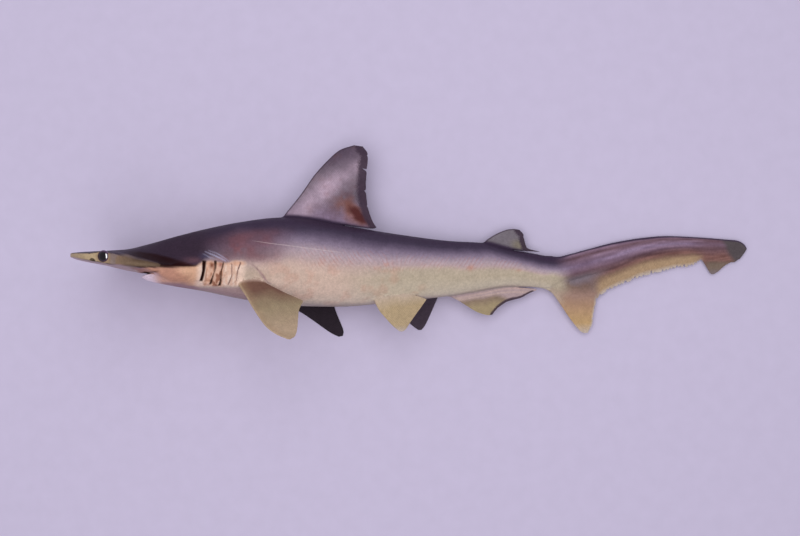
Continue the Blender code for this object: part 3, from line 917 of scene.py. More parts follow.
@dataclass
class BodySurface:
    """The body's skin with its orbits, nostrils, mouth, gill slits and folds."""

    form: BodyForm = field(default_factory=BodyForm)

    def __post_init__(self) -> None:
        """Lays the details on the smooth form."""
        NOSTRIL.settle(self.form.skin(*(grid.ravel() for grid in np.meshgrid(
            np.arange(27, 34, 0.25), np.arange(0.9, 1.5, 0.01)))))
        net, self.faces = self.form.net()
        smooth = self.form.skin(net[:, 0], net[:, 1])
        self.normal = corner_normals(smooth, self.faces)
        self.hollow = MOUTH.hollow(net[:, 0], smooth[:, 1]) * (np.abs(net[:, 1] - 2) < 0.9)
        self.jaw = MOUTH.jaw_station(net[:, 0], smooth[:, 1])
        height = NOSTRIL.relief(smooth)
        for crease in GILL_SLITS + FOLDS + ROOT_CREASES:
            height += crease.relief(smooth)
        area = window(smooth[:, 0], 95, 127, 5) * window(smooth[:, 2], -15, 4, 4) * (np.abs(smooth[:, 1]) > 4)
        height += area * (cloud(smooth * (1.4, 1, 0.6), 2.4, 5) - 0.5) * 0.8
        self.places = ORBIT.shape(smooth + self.normal * height[:, None])
        LOG.info("body skin: %d triangles", len(self.faces))


def root_doubled(rows: Array) -> Array:
    """Repeats the first row of a grid, as the fin's root in the body."""
    return np.concatenate([rows[:1], rows])


@dataclass
class FinBlade:
    """One fin: a thin closed blade between its front and rear outlines.

    Its marks tell the paint, for each point, the millimetres from the rear edge and from the front
    edge and the share of the span.
    """

    name: str
    front: Outline
    rear: Outline
    root_half: float
    edge_half: float = 0.3
    rows: int = 32
    columns: int = 26
    nicks: tuple[tuple[float, float, float], ...] = ()
    ragged: float = 0.0
    free_from: float = 0.3
    places: Array = field(default_factory=lambda: np.zeros((0, 3)))
    faces: Array = field(default_factory=lambda: np.zeros((0, 3), int))
    marks: Array = field(default_factory=lambda: np.zeros((0, 3)))

    def spans(self) -> Array:
        """Spaces the rows, closer at the nicks.

        Returns:
            Rising shares of the span.
        """
        steps = (-1.5, -0.8, -0.3, 0, 0.3, 0.8, 1.5)
        extra = [place + step * width for place, _, width in self.nicks for step in steps]
        return np.unique(np.concatenate([np.linspace(0, 1, self.rows), np.clip(extra, 0, 1)]))

    def grid(self) -> tuple[Array, Array, Array]:
        """Spreads points over the blade, with its nicks and its worn rear edge.

        Returns:
            Plane places of the blade, their spans and their chords, rows by columns.
        """
        span = self.spans()[:, None]
        chord = (1 - np.cos(pi * np.linspace(0, 1, self.columns)))[None, :] / 2
        lead, trail = self.front(span[:, 0]), self.rear(span[:, 0])
        run = lead - trail
        cut = np.zeros(len(span))
        for place, depth, width in self.nicks:
            cut += depth * np.exp(-np.abs((span[:, 0] - place) / width) ** 1.5)
        wear = np.random.default_rng(len(self.name)).random(len(span)) * self.ragged
        cut += wear * (span[:, 0] > self.free_from) * (span[:, 0] < 0.99)
        trail = trail + run / np.maximum(np.hypot(*run.T), 1.0)[:, None] * cut[:, None]
        places = mix(lead[:, None, :], trail[:, None, :], chord[:, :, None])
        return places, span + 0 * chord, chord + 0 * span

    def half(self, chord: Array, span: Array) -> Array:
        """Half thickness: rounded along the chord and thinner towards the tip."""
        body = (4 * chord * (1 - chord)) ** 0.6 * (1 - 0.45 * chord)
        return mix(self.edge_half, self.root_half, body * np.clip(1 - span, 0, 1) ** 1.3)

    def close(self, near: Array, far: Array, plane: Array, span: Array) -> None:
        """Joins two grids of body places round their edges and keeps the fin's marks.

        Args:
            near: Grid of body places of the left or upper face.
            far: The same of the other face.
            plane: The places in the blade's own plane.
            span: Their shares of the span.
        """
        rows, columns = span.shape
        index = np.arange(rows * columns).reshape(rows, columns)
        quads = []
        for grid, flip in ((index, False), (index + rows * columns, True)):
            a, b, c, d = grid[:-1, :-1], grid[:-1, 1:], grid[1:, 1:], grid[1:, :-1]
            quad = np.stack([a, b, c, d], -1).reshape(-1, 4)
            quads.append(quad[:, ::-1] if flip else quad)
        ring = np.concatenate([index[0, :], index[1:, -1], index[-1, -2::-1], index[-2:0:-1, 0]])
        after, offset = np.roll(ring, -1), rows * columns
        quads.append(np.stack([ring, ring + offset, after + offset, after], -1))
        quads = np.concatenate(quads)
        self.faces = np.concatenate([quads[:, [0, 1, 2]], quads[:, [0, 2, 3]]])
        self.places = np.concatenate([near.reshape(-1, 3), far.reshape(-1, 3)])
        flat = plane.reshape(-1, 2)
        marks = [self.rear.distance(flat, self.free_from), self.front.distance(flat), span.ravel()]
        self.marks = np.tile(np.stack(marks, -1), (2, 1))
        first, second, third = (self.places[self.faces[:, k]] for k in range(3))
        if (first * np.cross(second, third)).sum() < 0:
            self.faces = self.faces[:, ::-1]


@dataclass
class MedianFin(FinBlade):
    """A fin in the middle plane, grown out of the back or the belly line."""

    root_line: Profile = BACK
    direction: int = 1
    sink: float = 3.5
    flare: float = 3.2

    def build(self) -> "MedianFin":
        """Builds the blade with a flared root that is sunk in the body.

        Returns:
            The fin itself.
        """
        plane, span, chord = self.grid()
        height = self.direction * (plane[..., 1] - self.root_line(plane[..., 0]))
        height = np.maximum(height, 5 * span)
        height[0] = 0.0
        station, span, chord, height = (root_doubled(rows) for rows in (plane[..., 0], span, chord, height))
        height[0] = -self.sink
        round_off = (4 * chord * (1 - chord)) ** 0.5
        flare = self.flare * np.clip(1 - height / 5.0, 0, 1.6) ** 2.2 * round_off
        half = self.half(chord, span) + flare * 0.45
        rise = self.root_line(station) + self.direction * height
        near, far = (np.stack([station, side, rise], -1) for side in (half, -half))
        self.close(near, far, np.stack([station, rise], -1), span)
        return self


@dataclass
class PairedFin(FinBlade):
    """A pectoral or pelvic fin, either stiff in a tilted plane or limp on the floor."""

    root: tuple[float, float, float, float] = (0.0, 0.0, 0.0, 0.0)
    flank: Flank = Flank.LEFT
    tilted: tuple[float, float, float, float] | None = None
    draped: tuple[float, float] | None = None

    def _spread(self, plane: Array, half: Array, span: Array) -> tuple[Array, Array]:
        """Turns plane places and half thicknesses into the two faces in room millimetres.

        Args:
            plane: Places in the blade's plane.
            half: Half thicknesses.
            span: Shares of the span.

        Returns:
            The two faces.
        """
        along, outward = plane[..., 0], plane[..., 1]
        if self.tilted is not None:
            station, side, rise, tilt = self.tilted
            centre, back, left = AXIS.frame(np.array(station))
            up = np.array([0, 1, 0])
            out = left * sin(radians(tilt)) - up * cos(radians(tilt))
            normal = left * cos(radians(tilt)) + up * sin(radians(tilt))
            point = centre + left * side + up * rise + back * along[..., None] + out * outward[..., None]
            return point + normal * half[..., None], point - normal * half[..., None]
        root_height, land = self.draped
        height = half + root_height * (1 - ease(span / land)) ** 1.5
        lower, upper = (np.stack([along, outward, level], -1) for level in (height - half, height + half))
        return lower, upper

    def build(self) -> "PairedFin":
        """Builds the blade. Its first rows lie in the body and ease from the skin into the blade.

        Returns:
            The fin itself.
        """
        plane, even, chord = self.grid()
        span = np.clip(even, 0, 1) ** 1.15
        for row, sign in ((even[:, 0], -1), (span[:, 0], 1)):
            plane = plane + sign * mix(self.front(row)[:, None], self.rear(row)[:, None], chord[..., None])
        half = self.half(chord, span)
        upper, lower = self._spread(plane, half, span)
        front_station, rear_station, front_rise, rear_rise = self.root
        station = mix(front_station, rear_station, chord[0])
        base_rise = mix(front_rise, rear_rise, chord[0])
        faces = []
        for face, lean in ((upper, 1), (lower, -1)):
            spot = base_rise + lean * (half[0] + 0.2)
            skin = flank_side(station, spot) * self.flank.value
            centre, _, left = AXIS.frame(station)
            on_skin = centre + left * skin[:, None]
            on_skin[:, 1] += spot
            fade = 1 - ease(span / 0.3)
            placed = face + (on_skin - face[0])[None] * fade[..., None]
            inside = on_skin - left * (4.5 * self.flank.value)
            inside[:, 1] += 1.5
            faces.append(np.concatenate([inside[None], placed]))
        near, far = (AXIS.to_body(face.reshape(-1, 3)).reshape(face.shape) for face in faces)
        middle = (near + far) / 2
        plane, even, span, chord = (root_doubled(rows) for rows in (plane, even, span, chord))
        flare = 1.3 * np.clip(1 - even / 0.14, 0, 1) ** 2 * 4 * chord * (1 - chord)
        apart = near - middle
        length = np.linalg.norm(apart, axis=-1, keepdims=True)
        apart = apart / np.maximum(length, 0.01) * (length + flare[..., None])
        self.close(middle + apart, middle - apart, plane, span)
        return self


def all_fins() -> list[FinBlade]:
    """Builds every fin but the tail's upper lobe, which the body's rings carry on into.

    Returns:
        The fins.
    """
    fins: list[FinBlade] = [
        MedianFin(
            "dorsal_first",
            Outline([(169, 42.6), (183.4, 60.6), (195.3, 77.6), (207.2, 90.9), (217, 99.3), (229, 103.6)]),
            Outline(
                [(219.5, 36.0), (249.7, 31.6)],
                [(249.7, 31.6), (245.0, 39.2), (241.2, 50.0), (239.3, 66.0), (240.3, 84.0), (241.0, 96.0),
                 (236.5, 102.6)]),
            2.6, rows=58, columns=36, ragged=0.25,
            nicks=((0.62, 1.6, 0.008), (0.79, 4.4, 0.006), (0.50, 0.8, 0.01), (0.91, 0.9, 0.01))),
        MedianFin(
            "dorsal_second",
            Outline([(340.7, 21.2), (350.4, 27.6), (360.6, 32.0), (368.0, 33.0)]),
            Outline(
                [(366.0, 15.2), (392.0, 10.8)],
                [(392.0, 10.8), (385.5, 12.0), (379.8, 15.8), (377.3, 22.5), (376.0, 28.6), (372.5, 32.2)]),
            2.2, rows=34, columns=26, ragged=0.35, free_from=0.45, flare=2.0,
            nicks=((0.66, 0.9, 0.012), (0.86, 0.7, 0.015))),
        MedianFin(
            "anal",
            Outline([(310.0, -25.4), (318.0, -28.4), (333.7, -37.9), (342.0, -41.0), (345.5, -41.6)]),
            Outline(
                [(370.0, -17.4), (391.0, -19.0)],
                [(391.0, -19.0), (383.0, -22.0), (374.0, -26.6), (362.7, -29.6), (354.8, -34.5),
                 (348.5, -41.2)]),
            2.2, rows=44, columns=26, ragged=0.55, free_from=0.4, root_line=BELLY, direction=-1, flare=2.0,
            nicks=((0.62, 1.0, 0.012), (0.74, 1.9, 0.01), (0.88, 1.0, 0.012))),
        PairedFin(
            "pectoral_left",
            Outline([(0.0, 0.0), (1.8, 27.0), (6.1, 54.4), (12.0, 66.5), (20.0, 73.6)]),
            Outline(
                [(21.0, -1.0), (34.0, 13.5), (47.0, 25.2)],
                [(47.0, 25.2), (39.4, 38.5), (32.7, 57.8), (27.6, 69.6), (22.0, 73.9)]),
            2.8, rows=44, columns=34, ragged=0.2, free_from=0.45,
            root=(123.6, 145.5, -13.4, -12.6), tilted=(124.0, 26.0, -13.0, 55.0)),
        PairedFin(
            "pectoral_right",
            Outline([(-142.0, -15.0), (-114.0, -27.0), (-87.8, -39.5), (-62.9, -56.6), (-54.2, -61.0)]),
            Outline(
                [(-123.0, -15.0), (-90.0, -22.0), (-60.0, -29.0)],
                [(-60.0, -29.0), (-56.5, -40.0), (-50.4, -55.0), (-50.8, -60.2)]),
            2.8, rows=34, columns=26, free_from=0.6, flank=Flank.RIGHT,
            root=(131.0, 153.0, -14.0, -13.5), draped=(20.0, 0.5)),
        PairedFin(
            "pelvic_left",
            Outline([(0.0, 2.0), (7.0, 11.9), (14.9, 22.2), (20.5, 27.8)]),
            Outline(
                [(34.0, -3.0), (44.9, -1.4)],
                [(44.9, -1.4), (38.4, 8.0), (30.1, 20.0), (25.6, 27.0), (22.5, 28.3)]),
            1.8, rows=30, columns=26, ragged=0.2, free_from=0.3,
            root=(244.5, 279.0, -27.6, -23.8), tilted=(244.5, 14.0, -29.0, 30.0)),
        PairedFin(
            "pelvic_right",
            Outline([(-15.0, -27.5), (-2.0, -40.0), (8.3, -49.9), (15.4, -55.2)]),
            Outline(
                [(20.0, -26.0), (32.5, -25.5)],
                [(32.5, -25.5), (27.0, -38.6), (21.4, -50.5), (18.0, -55.0)]),
            1.8, rows=24, columns=20, free_from=0.3, flank=Flank.RIGHT,
            root=(252.0, 286.0, -26.4, -23.0), draped=(11.0, 0.6)),
        MedianFin(
            "caudal_lower",
            Outline([(394.6, -18.6), (401.5, -22.6), (408.6, -32.1), (418.3, -46.1), (426.5, -55.8),
                     (430.5, -57.5)]),
            Outline([(440.6, -29.0), (438.3, -39.2), (436.8, -49.6), (433.0, -57.1)]),
            2.2, rows=36, columns=30, ragged=0.5, free_from=0.0, direction=-1, sink=9.0, flare=0.6,
            root_line=Profile((394, -18.5), (400, -19.0), (420, -22.6), (441, -28.4)),
            nicks=((0.2, 0.9, 0.012), (0.55, 1.1, 0.012))),
    ]
    return [fin.build() for fin in fins]


@dataclass
class Skin:
    """The one skin of the whole animal, with what its paint needs to know at every point."""

    join_reach: float = 3.2
    smoothings: int = 14
    far_from_edge: float = 99.0

    def __post_init__(self) -> None:
        """Builds the body and the fins, unites them and finds what is where."""
        surface = BodySurface()
        self.fins = all_fins()
        LOG.info("fins: %d triangles", sum(len(fin.faces) for fin in self.fins))
        self.whole_body = BVHTree.FromPolygons(surface.places.tolist(), surface.faces.tolist())
        self.trees = [BVHTree.FromPolygons(fin.places.tolist(), fin.faces.tolist()) for fin in self.fins]
        self.mesh = self._unite(surface.places, surface.faces)
        self.places = points_of(self.mesh)
        nearest = KDTree(len(surface.places))
        for k, place in enumerate(surface.places):
            nearest.insert(place, k)
        nearest.balance()
        source = np.array([nearest.find(place)[1] for place in self.places])
        self.normal = surface.normal[source]
        self.hollow = surface.hollow[source]
        self.jaw = surface.jaw[source]
        self.fin_share = np.zeros(len(self.places))
        self.fin_index = np.full(len(self.places), -1)
        self.marks = np.zeros((len(self.places), 3))
        self.marks[:, :2] = self.far_from_edge
        self._smooth_joins()

    def _unite(self, body: Array, faces: Array) -> bpy.types.Mesh:
        """Unites the body and its fins.

        Args:
            body: Rows of station, side and rise.
            faces: Rows of three indices.

        Returns:
            One closed mesh in body measures.
        """
        whole = hang("skin_work", mesh_from("skin_work", body, faces))
        starts = np.cumsum([0] + [len(fin.places) for fin in self.fins])
        blades = hang("fins_work", mesh_from(
            "fins_work", np.concatenate([fin.places for fin in self.fins]),
            np.concatenate([fin.faces + start for fin, start in zip(self.fins, starts)])))
        union = whole.modifiers.new("fins", "BOOLEAN")
        union.operation = "UNION"
        union.solver = "MANIFOLD"
        union.object = blades
        graph = bpy.context.evaluated_depsgraph_get()
        mesh = bpy.data.meshes.new_from_object(whole.evaluated_get(graph))
        for item in (whole, blades):
            bpy.data.objects.remove(item)
        LOG.info("united skin: %d faces", len(mesh.polygons))
        return mesh

    def _smooth_joins(self) -> None:
        """Finds each point's fin and rounds the lines where the fins leave the body."""
        near_join = np.zeros(len(self.places))
        for number, (fin, tree) in enumerate(zip(self.fins, self.trees)):
            low, high = fin.places.min(0) - 4, fin.places.max(0) + 4
            chosen = np.nonzero(((self.places > low) & (self.places < high)).all(1))[0]
            for k in chosen:
                place = self.places[k]
                spot, _, face, away_fin = tree.find_nearest(place)
                away_body = self.whole_body.find_nearest(place)[3]
                near_join[k] = max(near_join[k], 1 - max(away_fin, away_body) / self.join_reach)
                share = away_body / max(away_body + away_fin, 1e-6)
                if share > self.fin_share[k]:
                    self.fin_share[k] = share
                    self.fin_index[k] = number
                    corners = fin.faces[face]
                    gap = np.linalg.norm(fin.places[corners] - np.array(spot), axis=1)
                    pull = 1 / np.maximum(gap, 1e-5) ** 2
                    self.marks[k] = (fin.marks[corners] * pull[:, None]).sum(0) / pull.sum()
        edges = np.zeros(len(self.mesh.edges) * 2, int)
        self.mesh.edges.foreach_get("vertices", edges)
        self.places = relax(self.places, edges.reshape(-1, 2), ease(near_join * 1.3), self.smoothings)


class Tone(Enum):
    """Named colours of the skin in sRGB."""

    BELLY_EDGE_PAINTED_SHADE = "#a39691"
    BELLY_LOW_PAINTED_LIGHT = "#cdbbac"
    BELLY = "#b9a696"
    REAR_LOW_PAINTED_LIGHT = "#cbc0ac"
    BELLY_FRONT_AND_GLINT = "#cfb4a6"
    BELLY_REAR = "#b7aa95"
    LOW_FLANK = "#bda5a1"
    FLANK = "#ad9ba5"
    UPPER = "#897a8e"
    HIGH = "#62556a"
    BACK = "#443a4d"
    RIDGE = "#3c2f43"
    SHOULDER = "#6a4b55"
    RAW_RED = "#844a4b"
    BLOTCH = "#bd8874"
    HEAD_TOP = "#372a38"
    HEAD_PAINTED_SHADE = "#230a0c"
    WING_FRONT = "#ac977a"
    WING_BEHIND = "#9a826a"
    WING_REAR = "#5f4c3e"
    LID_GREY = "#8c8289"
    EDGE_LINE_PAINTED_SHADE = "#2c1f26"
    WING_UNDER = "#98797f"
    UNDER_PALE = "#b39da2"
    CHEEK = "#d6a690"
    CHEEK_PALE = "#d2a68a"
    CHEEK_RED = "#a4705f"
    JAW = "#efdbe9"
    THROAT_MAUVE_AND_CREASE_SHADE = "#96757e"
    GILL_CREAM = "#e3c8b8"
    GILL_PEACH = "#cc9a80"
    GILL_BROWN = "#7d4a38"
    FAINT_SLIT_PAINTED_SHADE = "#8f767c"
    HOLLOW_PAINTED_SHADE = "#120809"
    SLIT_PAINTED_SHADE = "#2a1310"
    BLUE_PAINTED_SHADE = "#3f3a52"
    WET_PAINTED_GLINT = "#aaa6c2"
    DORSAL_GREY = "#6c606c"
    DORSAL_PALE_AND_SHEEN = "#b39daf"
    DORSAL_BASE = "#85728a"
    DORSAL_DARK = "#544656"
    BLOOD_BROWN = "#542c2c"
    BLOOD_RED = "#8a5a4c"
    OLIVE_FIN = "#a08f72"
    OLIVE_PALE = "#b8a187"
    OLIVE_BROWN = "#78584c"
    PELVIC = "#b09b7c"
    PELVIC_TIP = "#bcaea6"
    FAR_FIN_DUSK_AND_SHADE = "#2e262e"
    FAR_PELVIC_PAINTED_SHADE = "#463b47"
    SECOND_REAR = "#837966"
    SECOND_GREY = "#766e76"
    ANAL = "#8a7767"
    ANAL_ROOT = "#ae989a"
    TAIL_EDGE = "#43364a"
    TAIL_MAUVE = "#806779"
    TAIL_BROWN = "#6b515b"
    TAIL_RUST = "#7b5853"
    TAIL_PALE = "#857089"
    TAIL_LOW = "#735e62"
    TAIL_SMOKE = "#7e727b"
    TAIL_OLIVE = "#75685c"
    TAIL_TIP = "#554d50"
    WEB_ROOT = "#79625a"
    AMBER_DEEP = "#8c725e"
    AMBER = "#a78c70"
    AMBER_EDGE = "#bdb0a8"
    LOBE_TAN = "#9a7d72"
    LOBE_AMBER = "#a98870"
    LOBE = "#ba9a70"


def graded(place: Array, *stops: tuple[float, Tone]) -> Array:
    """Colours that change steadily from stop to stop.

    Args:
        place: Where each point lies between the stops.
        *stops: Places, in rising order, with the colour reached there.

    Returns:
        One linear colour for each point.
    """
    tones = np.array([linear(tone.value) for _, tone in stops])
    return np.stack([np.interp(place, [at for at, _ in stops], channel) for channel in tones.T], -1)


@dataclass
class Marker:
    """Paints the skin by the zones of the body."""

    skin: Skin
    segment_length: float = 3.8

    # A fin's dark rear band: its width in millimetres, the measure it changes along (0 the station,
    # 2 the rise), places along that and the shares of the width there
    BANDS = {
        "dorsal_first": (6.6, 2, (34, 60, 90, 103), (0.8, 1.2, 1.1, 0.9)),
        "dorsal_second": (4.6, 2, (0, 40), (1.0, 1.0)),
        "anal": (2.0, 0, (345, 352, 366, 390), (0.9, 1.15, 1.1, 0.6))}

    def __post_init__(self) -> None:
        """Measures how every point lies on the body."""
        self.number = {fin.name: number for number, fin in enumerate(self.skin.fins)}
        self.body = self.skin.places
        self.colour = np.zeros(self.body.shape)
        self.station, side, self.rise = self.body.T
        self.reach = np.abs(side)
        self.beside = self.reach > 4
        self.off_middle = mix(0.35, 1.0, ease((self.reach - 3) / 5))
        middle = WIDEST_RISE(self.station)
        top = np.where(self.station < TAIL_START, BACK(self.station), TAIL_TOP(self.station))
        bottom = np.where(self.station < TAIL_START, BELLY(self.station), TAIL_BOTTOM(self.station))
        above = (self.rise - middle) / np.maximum(top - middle, 1)
        below = (self.rise - middle) / np.maximum(middle - bottom, 1)
        self.share = np.clip(np.where(self.rise > middle, above, below), -1.2, 1.2)
        self.large = cloud(self.body, 22, 1) - 0.5
        self.medium = cloud(self.body, 8, 2) - 0.5
        self.small = cloud(self.body, 3, 3) - 0.5

    def paint(self) -> Array:
        """Lays all zones over one another.

        Returns:
            The linear colour of every point.
        """
        for zone in (self._trunk, self._head, self._gills, self._tail, self._dorsal_fins, self._lower_fins):
            zone()
        return self.colour

    def _lay(self, tone: Tone | Array, mask: Array) -> None:
        """Lays a tone, or one linear colour for each point, over the paint as strongly as the mask says."""
        colour = linear(tone.value) if isinstance(tone, Tone) else tone
        self.colour += (colour - self.colour) * np.clip(mask, 0, 1)[:, None]

    def _trunk(self) -> None:
        """Dark back, greyish lilac flank and cream belly, with blood showing through the thin skin, painted
        light low on the belly and painted shade at its edge.
        """
        share = self.share + 0.09 * self.large + 0.05 * self.medium + 0.2 * ease((self.station - 362) / 30)
        # Painted light and shade: lighter low on the belly where the skin turns from the light, darker at its
        # very edge
        self._lay(graded(
            share, (-1.0, Tone.BELLY_EDGE_PAINTED_SHADE), (-0.85, Tone.BELLY_LOW_PAINTED_LIGHT), (-0.3, Tone.BELLY),
            (-0.02, Tone.LOW_FLANK), (0.22, Tone.FLANK), (0.42, Tone.UPPER), (0.6, Tone.HIGH),
            (0.75, Tone.BACK), (0.92, Tone.RIDGE)), np.ones(len(share)))
        front = window(self.station, 140, 226, 40)
        self._lay(Tone.BELLY_FRONT_AND_GLINT, front * window(share, -0.8, -0.05, 0.3) * 0.75)
        # Painted light: the rear belly is lighter low down where the skin turns from the light
        rear = graded(share, (-0.85, Tone.REAR_LOW_PAINTED_LIGHT), (-0.35, Tone.BELLY_REAR))
        self._lay(rear, ease((self.station - 215) / 60) * window(share, -0.9, 0.0, 0.2) * 0.8)
        blood = ease((self.medium + 0.6 * self.small - 0.04) / 0.3)
        blood = blood * window(share, -0.95, 0.12, 0.4) * window(self.station, 150, 290, 40)
        self._lay(Tone.BLOTCH, blood * 0.26)
        shoulder = window(self.station, 100, 160, 45) * window(share, 0.05, 0.74, 0.3)
        self._lay(Tone.SHOULDER, shoulder * 0.8)
        self._lay(Tone.RAW_RED, shoulder * ease((self.medium + 0.1) / 0.35) * 0.25)
        speckled = ease(self.small * 3 + 0.6)
        self._lay(Tone.RAW_RED, self._spot(122, 14.5, 8, 4.5) * speckled * 0.45)
        speckled *= self.skin.fin_share < 0.3
        for station, rise, size in ((253, 1.0, 5.0), (326, -0.5, 3.0), (369, -1.5, 2.4)):
            self._lay(Tone.BLOTCH, self._spot(station, rise, size, 0.9 * size) * speckled * 0.7)

    def _head(self) -> None:
        """The hammer: dark above, olive round its edge, pale below, with painted shade in hollows and along
        edges.
        """
        station, rise, reach = self.station, self.rise, self.reach
        up = self.skin.normal[:, 2]
        head = 1 - ease((station - 84) / 14)
        top, bottom = BLADE_TOP(station), BLADE_BOTTOM(station)
        rear = ease((station - 46) / 6)
        tip = ease((reach - 60) / 9)
        flat_top = ease((up - mix(0.5, 0.93, tip)) / mix(0.3, 0.05, tip))
        flat_bottom = ease((-up - mix(0.4, 0.965, tip)) / mix(0.3, 0.03, tip))
        over = np.maximum(ease((rise - top + 0.9) / 1.0) * ease((station - 41) / 5), flat_top * (1 - rear))
        under = np.maximum(ease((bottom + 0.3 - rise) / 1.2) * rear, flat_bottom * (1 - rear))
        edge = head * ease((reach - 16) / 8)
        olive = graded(
            station + 5 * self.medium, (0, Tone.WING_BEHIND), (8, Tone.WING_FRONT), (34, Tone.WING_FRONT),
            (45, Tone.WING_BEHIND), (56, Tone.WING_REAR))
        self._lay(olive, edge)
        self._lay(Tone.LID_GREY, edge * window(station + 1.5 * self.small, 43.6, 46.5, 1.0) * 0.45)
        light = hump(station, 58, 9) * hump(rise - mix(bottom, top, 0.35), 0, 1.6)
        self._lay(Tone.WING_FRONT, edge * light * 0.25)
        below = under * head
        self._lay(Tone.WING_UNDER, below)
        self._lay(Tone.UNDER_PALE, below * (1 - rear) * (1 - tip) * 0.8)
        cheek = ease((station - 55) / 10) * window(rise, -13, 2, 5)
        self._lay(Tone.CHEEK, below * cheek)
        self._lay(Tone.CHEEK_PALE, below * window(station, 80, 93, 10) * cheek)
        self._lay(Tone.CHEEK_RED, below * cheek * ease((self.medium + 0.1) / 0.3) * 0.55)
        throat = ease((-rise - 11) / 4.5) * ease((station - 58) / 14) * self.off_middle
        self._lay(Tone.THROAT_MAUVE_AND_CREASE_SHADE, below * throat)
        nape = 1 - ease((station - 88 + 8 * self.large) / 38)
        high = ease((rise - 2.5 * self.small - np.interp(station, [88, 96], [-2, 6])) / 4)
        self._lay(Tone.HEAD_TOP, over * nape * high)
        # Painted shade: dark lines along the hammer's upper and lower edges, where the skin turns away
        line = np.maximum(ease((up - 0.8) / 0.1) * (1 - ease((station - 58) / 6)),
                          ease((-up - 0.93) / 0.05) * (station > 12) * (1 - ease((station - 44) / 6)))
        self._lay(Tone.EDGE_LINE_PAINTED_SHADE, line * ease((reach - 66) / 4) * 0.85)
        # Painted shadow: a dark wedge in the hollow between the wing's rear edge and the head
        upper = np.interp(
            station, [46, 51, 56, 61, 65, 69.5, 76, 81, 85, 90],
            [12.8, 12.6, 12.2, 11.2, 10.4, 9.0, 7.2, 5.0, 2.9, 0.2])
        lower = mix(top, 0.2, ease((station - 66) / 5))
        shade = ease((rise - lower + 0.3) / 0.6) * ease((upper - rise) / 1.8 + 0.4)
        shade *= ease((station - 44) / 10) * (1 - ease((station - 89.5) / 1.5))
        self._lay(Tone.HEAD_PAINTED_SHADE, shade)
        # Painted shade in the crease where the wing's lower edge meets the cheek
        crease_shade = hump(rise - bottom, -0.2, 0.6) * window(station, 56, 90, 3) * (reach > 14)
        self._lay(Tone.HEAD_PAINTED_SHADE, crease_shade * 0.85)
        mouth = np.interp(station, [52, 55.3, 59.5, 64, 67.5], [-4.6, -4.5, -4.4, -3.9, -3.6])
        self._lay(Tone.CHEEK_RED, below * window(station, 50, 68, 4) * window(rise, -5.5, -1.2, 1.5) * 0.6)
        # Painted shade along the mouth's undercut
        self._lay(Tone.HEAD_PAINTED_SHADE, hump(rise - mouth, 0, 0.5) * window(station, 54, 67.5, 2.5) * 0.85)
        jaw = ease((self.skin.jaw - 50.6) / 1.2) * (1 - ease((station - 58) / 12)) * ease((-rise - 3.6) / 1.6)
        self._lay(Tone.JAW, jaw * below)
        # Painted shade in the mouth's hollow and the nostril's pit
        self._lay(Tone.HOLLOW_PAINTED_SHADE, ease(self.skin.hollow * 1.6) * 0.8)
        self._lay(Tone.HOLLOW_PAINTED_SHADE, ease((1.9 - NOSTRIL.distance(self.body)) / 0.7))
        lid, outer = ORBIT.stretch(self.body), ease((reach - 69) / 2)
        self._lay(Tone.WING_BEHIND, ease((1.5 - lid) / 0.3) * 0.7 * outer)
        # Painted shade in a ring at the lid's edge round the eye
        self._lay(Tone.EDGE_LINE_PAINTED_SHADE, ease((1.13 - lid) / 0.1) * 0.9 * outer)

    def _gills(self) -> None:
        """Swollen pale flaps between slits of painted shade, and painted shade and painted highlights on the
        wet folds above them.
        """
        station, rise = self.station, self.rise
        ragged = rise + 1.6 * self.small + 1.4 * self.medium
        ceiling = np.interp(station, [80, 88.5, 93, 112, 128], [-0.6, 0.0, 4.2, 3.8, 4.6])
        face = ease((ceiling + 1.1 - ragged) / 2.8) * ease((ragged + 17) / 3) * self.beside
        area = face * window(station, 90, 128, 5)
        strands = cloud(self.body * (1.5, 1, 0.45), 2.2, 8) - 0.5
        self._lay(Tone.CHEEK_PALE, face * window(station, 85, 96, 8) * 0.85)
        self._lay(Tone.GILL_CREAM, area)
        self._lay(Tone.GILL_PEACH, area * window(station, 97, 110, 3) * 0.6)
        swollen = window(station, 95, 124, 5) * mix(0.8, 0.45, ease((station - 108) / 4))
        self._lay(Tone.GILL_PEACH, area * ease((strands + 0.1) / 0.22) * swollen)
        for least, low, high, soft, strength in ((-0.02, 103, 108.5, 2, 0.75), (0.06, 96, 103, 3, 0.5)):
            mask = ease((strands - least) / 0.16) * window(station, low, high, soft)
            self._lay(Tone.GILL_BROWN, area * mask * strength)
        self._lay(Tone.GILL_PEACH, area * ease((rise - 0.3) / 2.5) * 0.7)
        self._lay(Tone.GILL_BROWN, area * self._spot(101.0, 1.4, 1.7, 2.6))
        self._lay(Tone.RAW_RED, area * self._spot(107.0, 1.6, 1.8, 2.4) * 0.6)
        throat = window(station, 86, 142, 14) * ease((-rise - 14.5) / 3.5) * self.off_middle
        self._lay(Tone.THROAT_MAUVE_AND_CREASE_SHADE, throat * 0.7)
        self._lay(Tone.SHOULDER, self._spot(87.5, 5.2, 5.0, 2.4) * self.beside * 0.65)
        # Painted shade: a dark blue-violet patch above the first gill slit
        self._lay(Tone.BLUE_PAINTED_SHADE, self._spot(95.5, 8.2, 4.0, 2.6) * self.beside * 0.8)
        # Painted highlights: bluish-white glints along the wet folds
        for fold in FOLDS:
            self._lay(Tone.WET_PAINTED_GLINT, fold.shade(self.body, 1.1) * 0.75)
        # Painted shade in the gill slits, fainter in the last two
        for number, slit in enumerate(GILL_SLITS):
            self._lay(Tone.SLIT_PAINTED_SHADE if number < 3 else Tone.FAINT_SLIT_PAINTED_SHADE, slit.shade(self.body, 1.15))
        # Painted shade in the creases at the pectoral fin's root, in the throat's mauve tone
        for crease in ROOT_CREASES:
            self._lay(Tone.THROAT_MAUVE_AND_CREASE_SHADE, crease.shade(self.body) * 0.8)

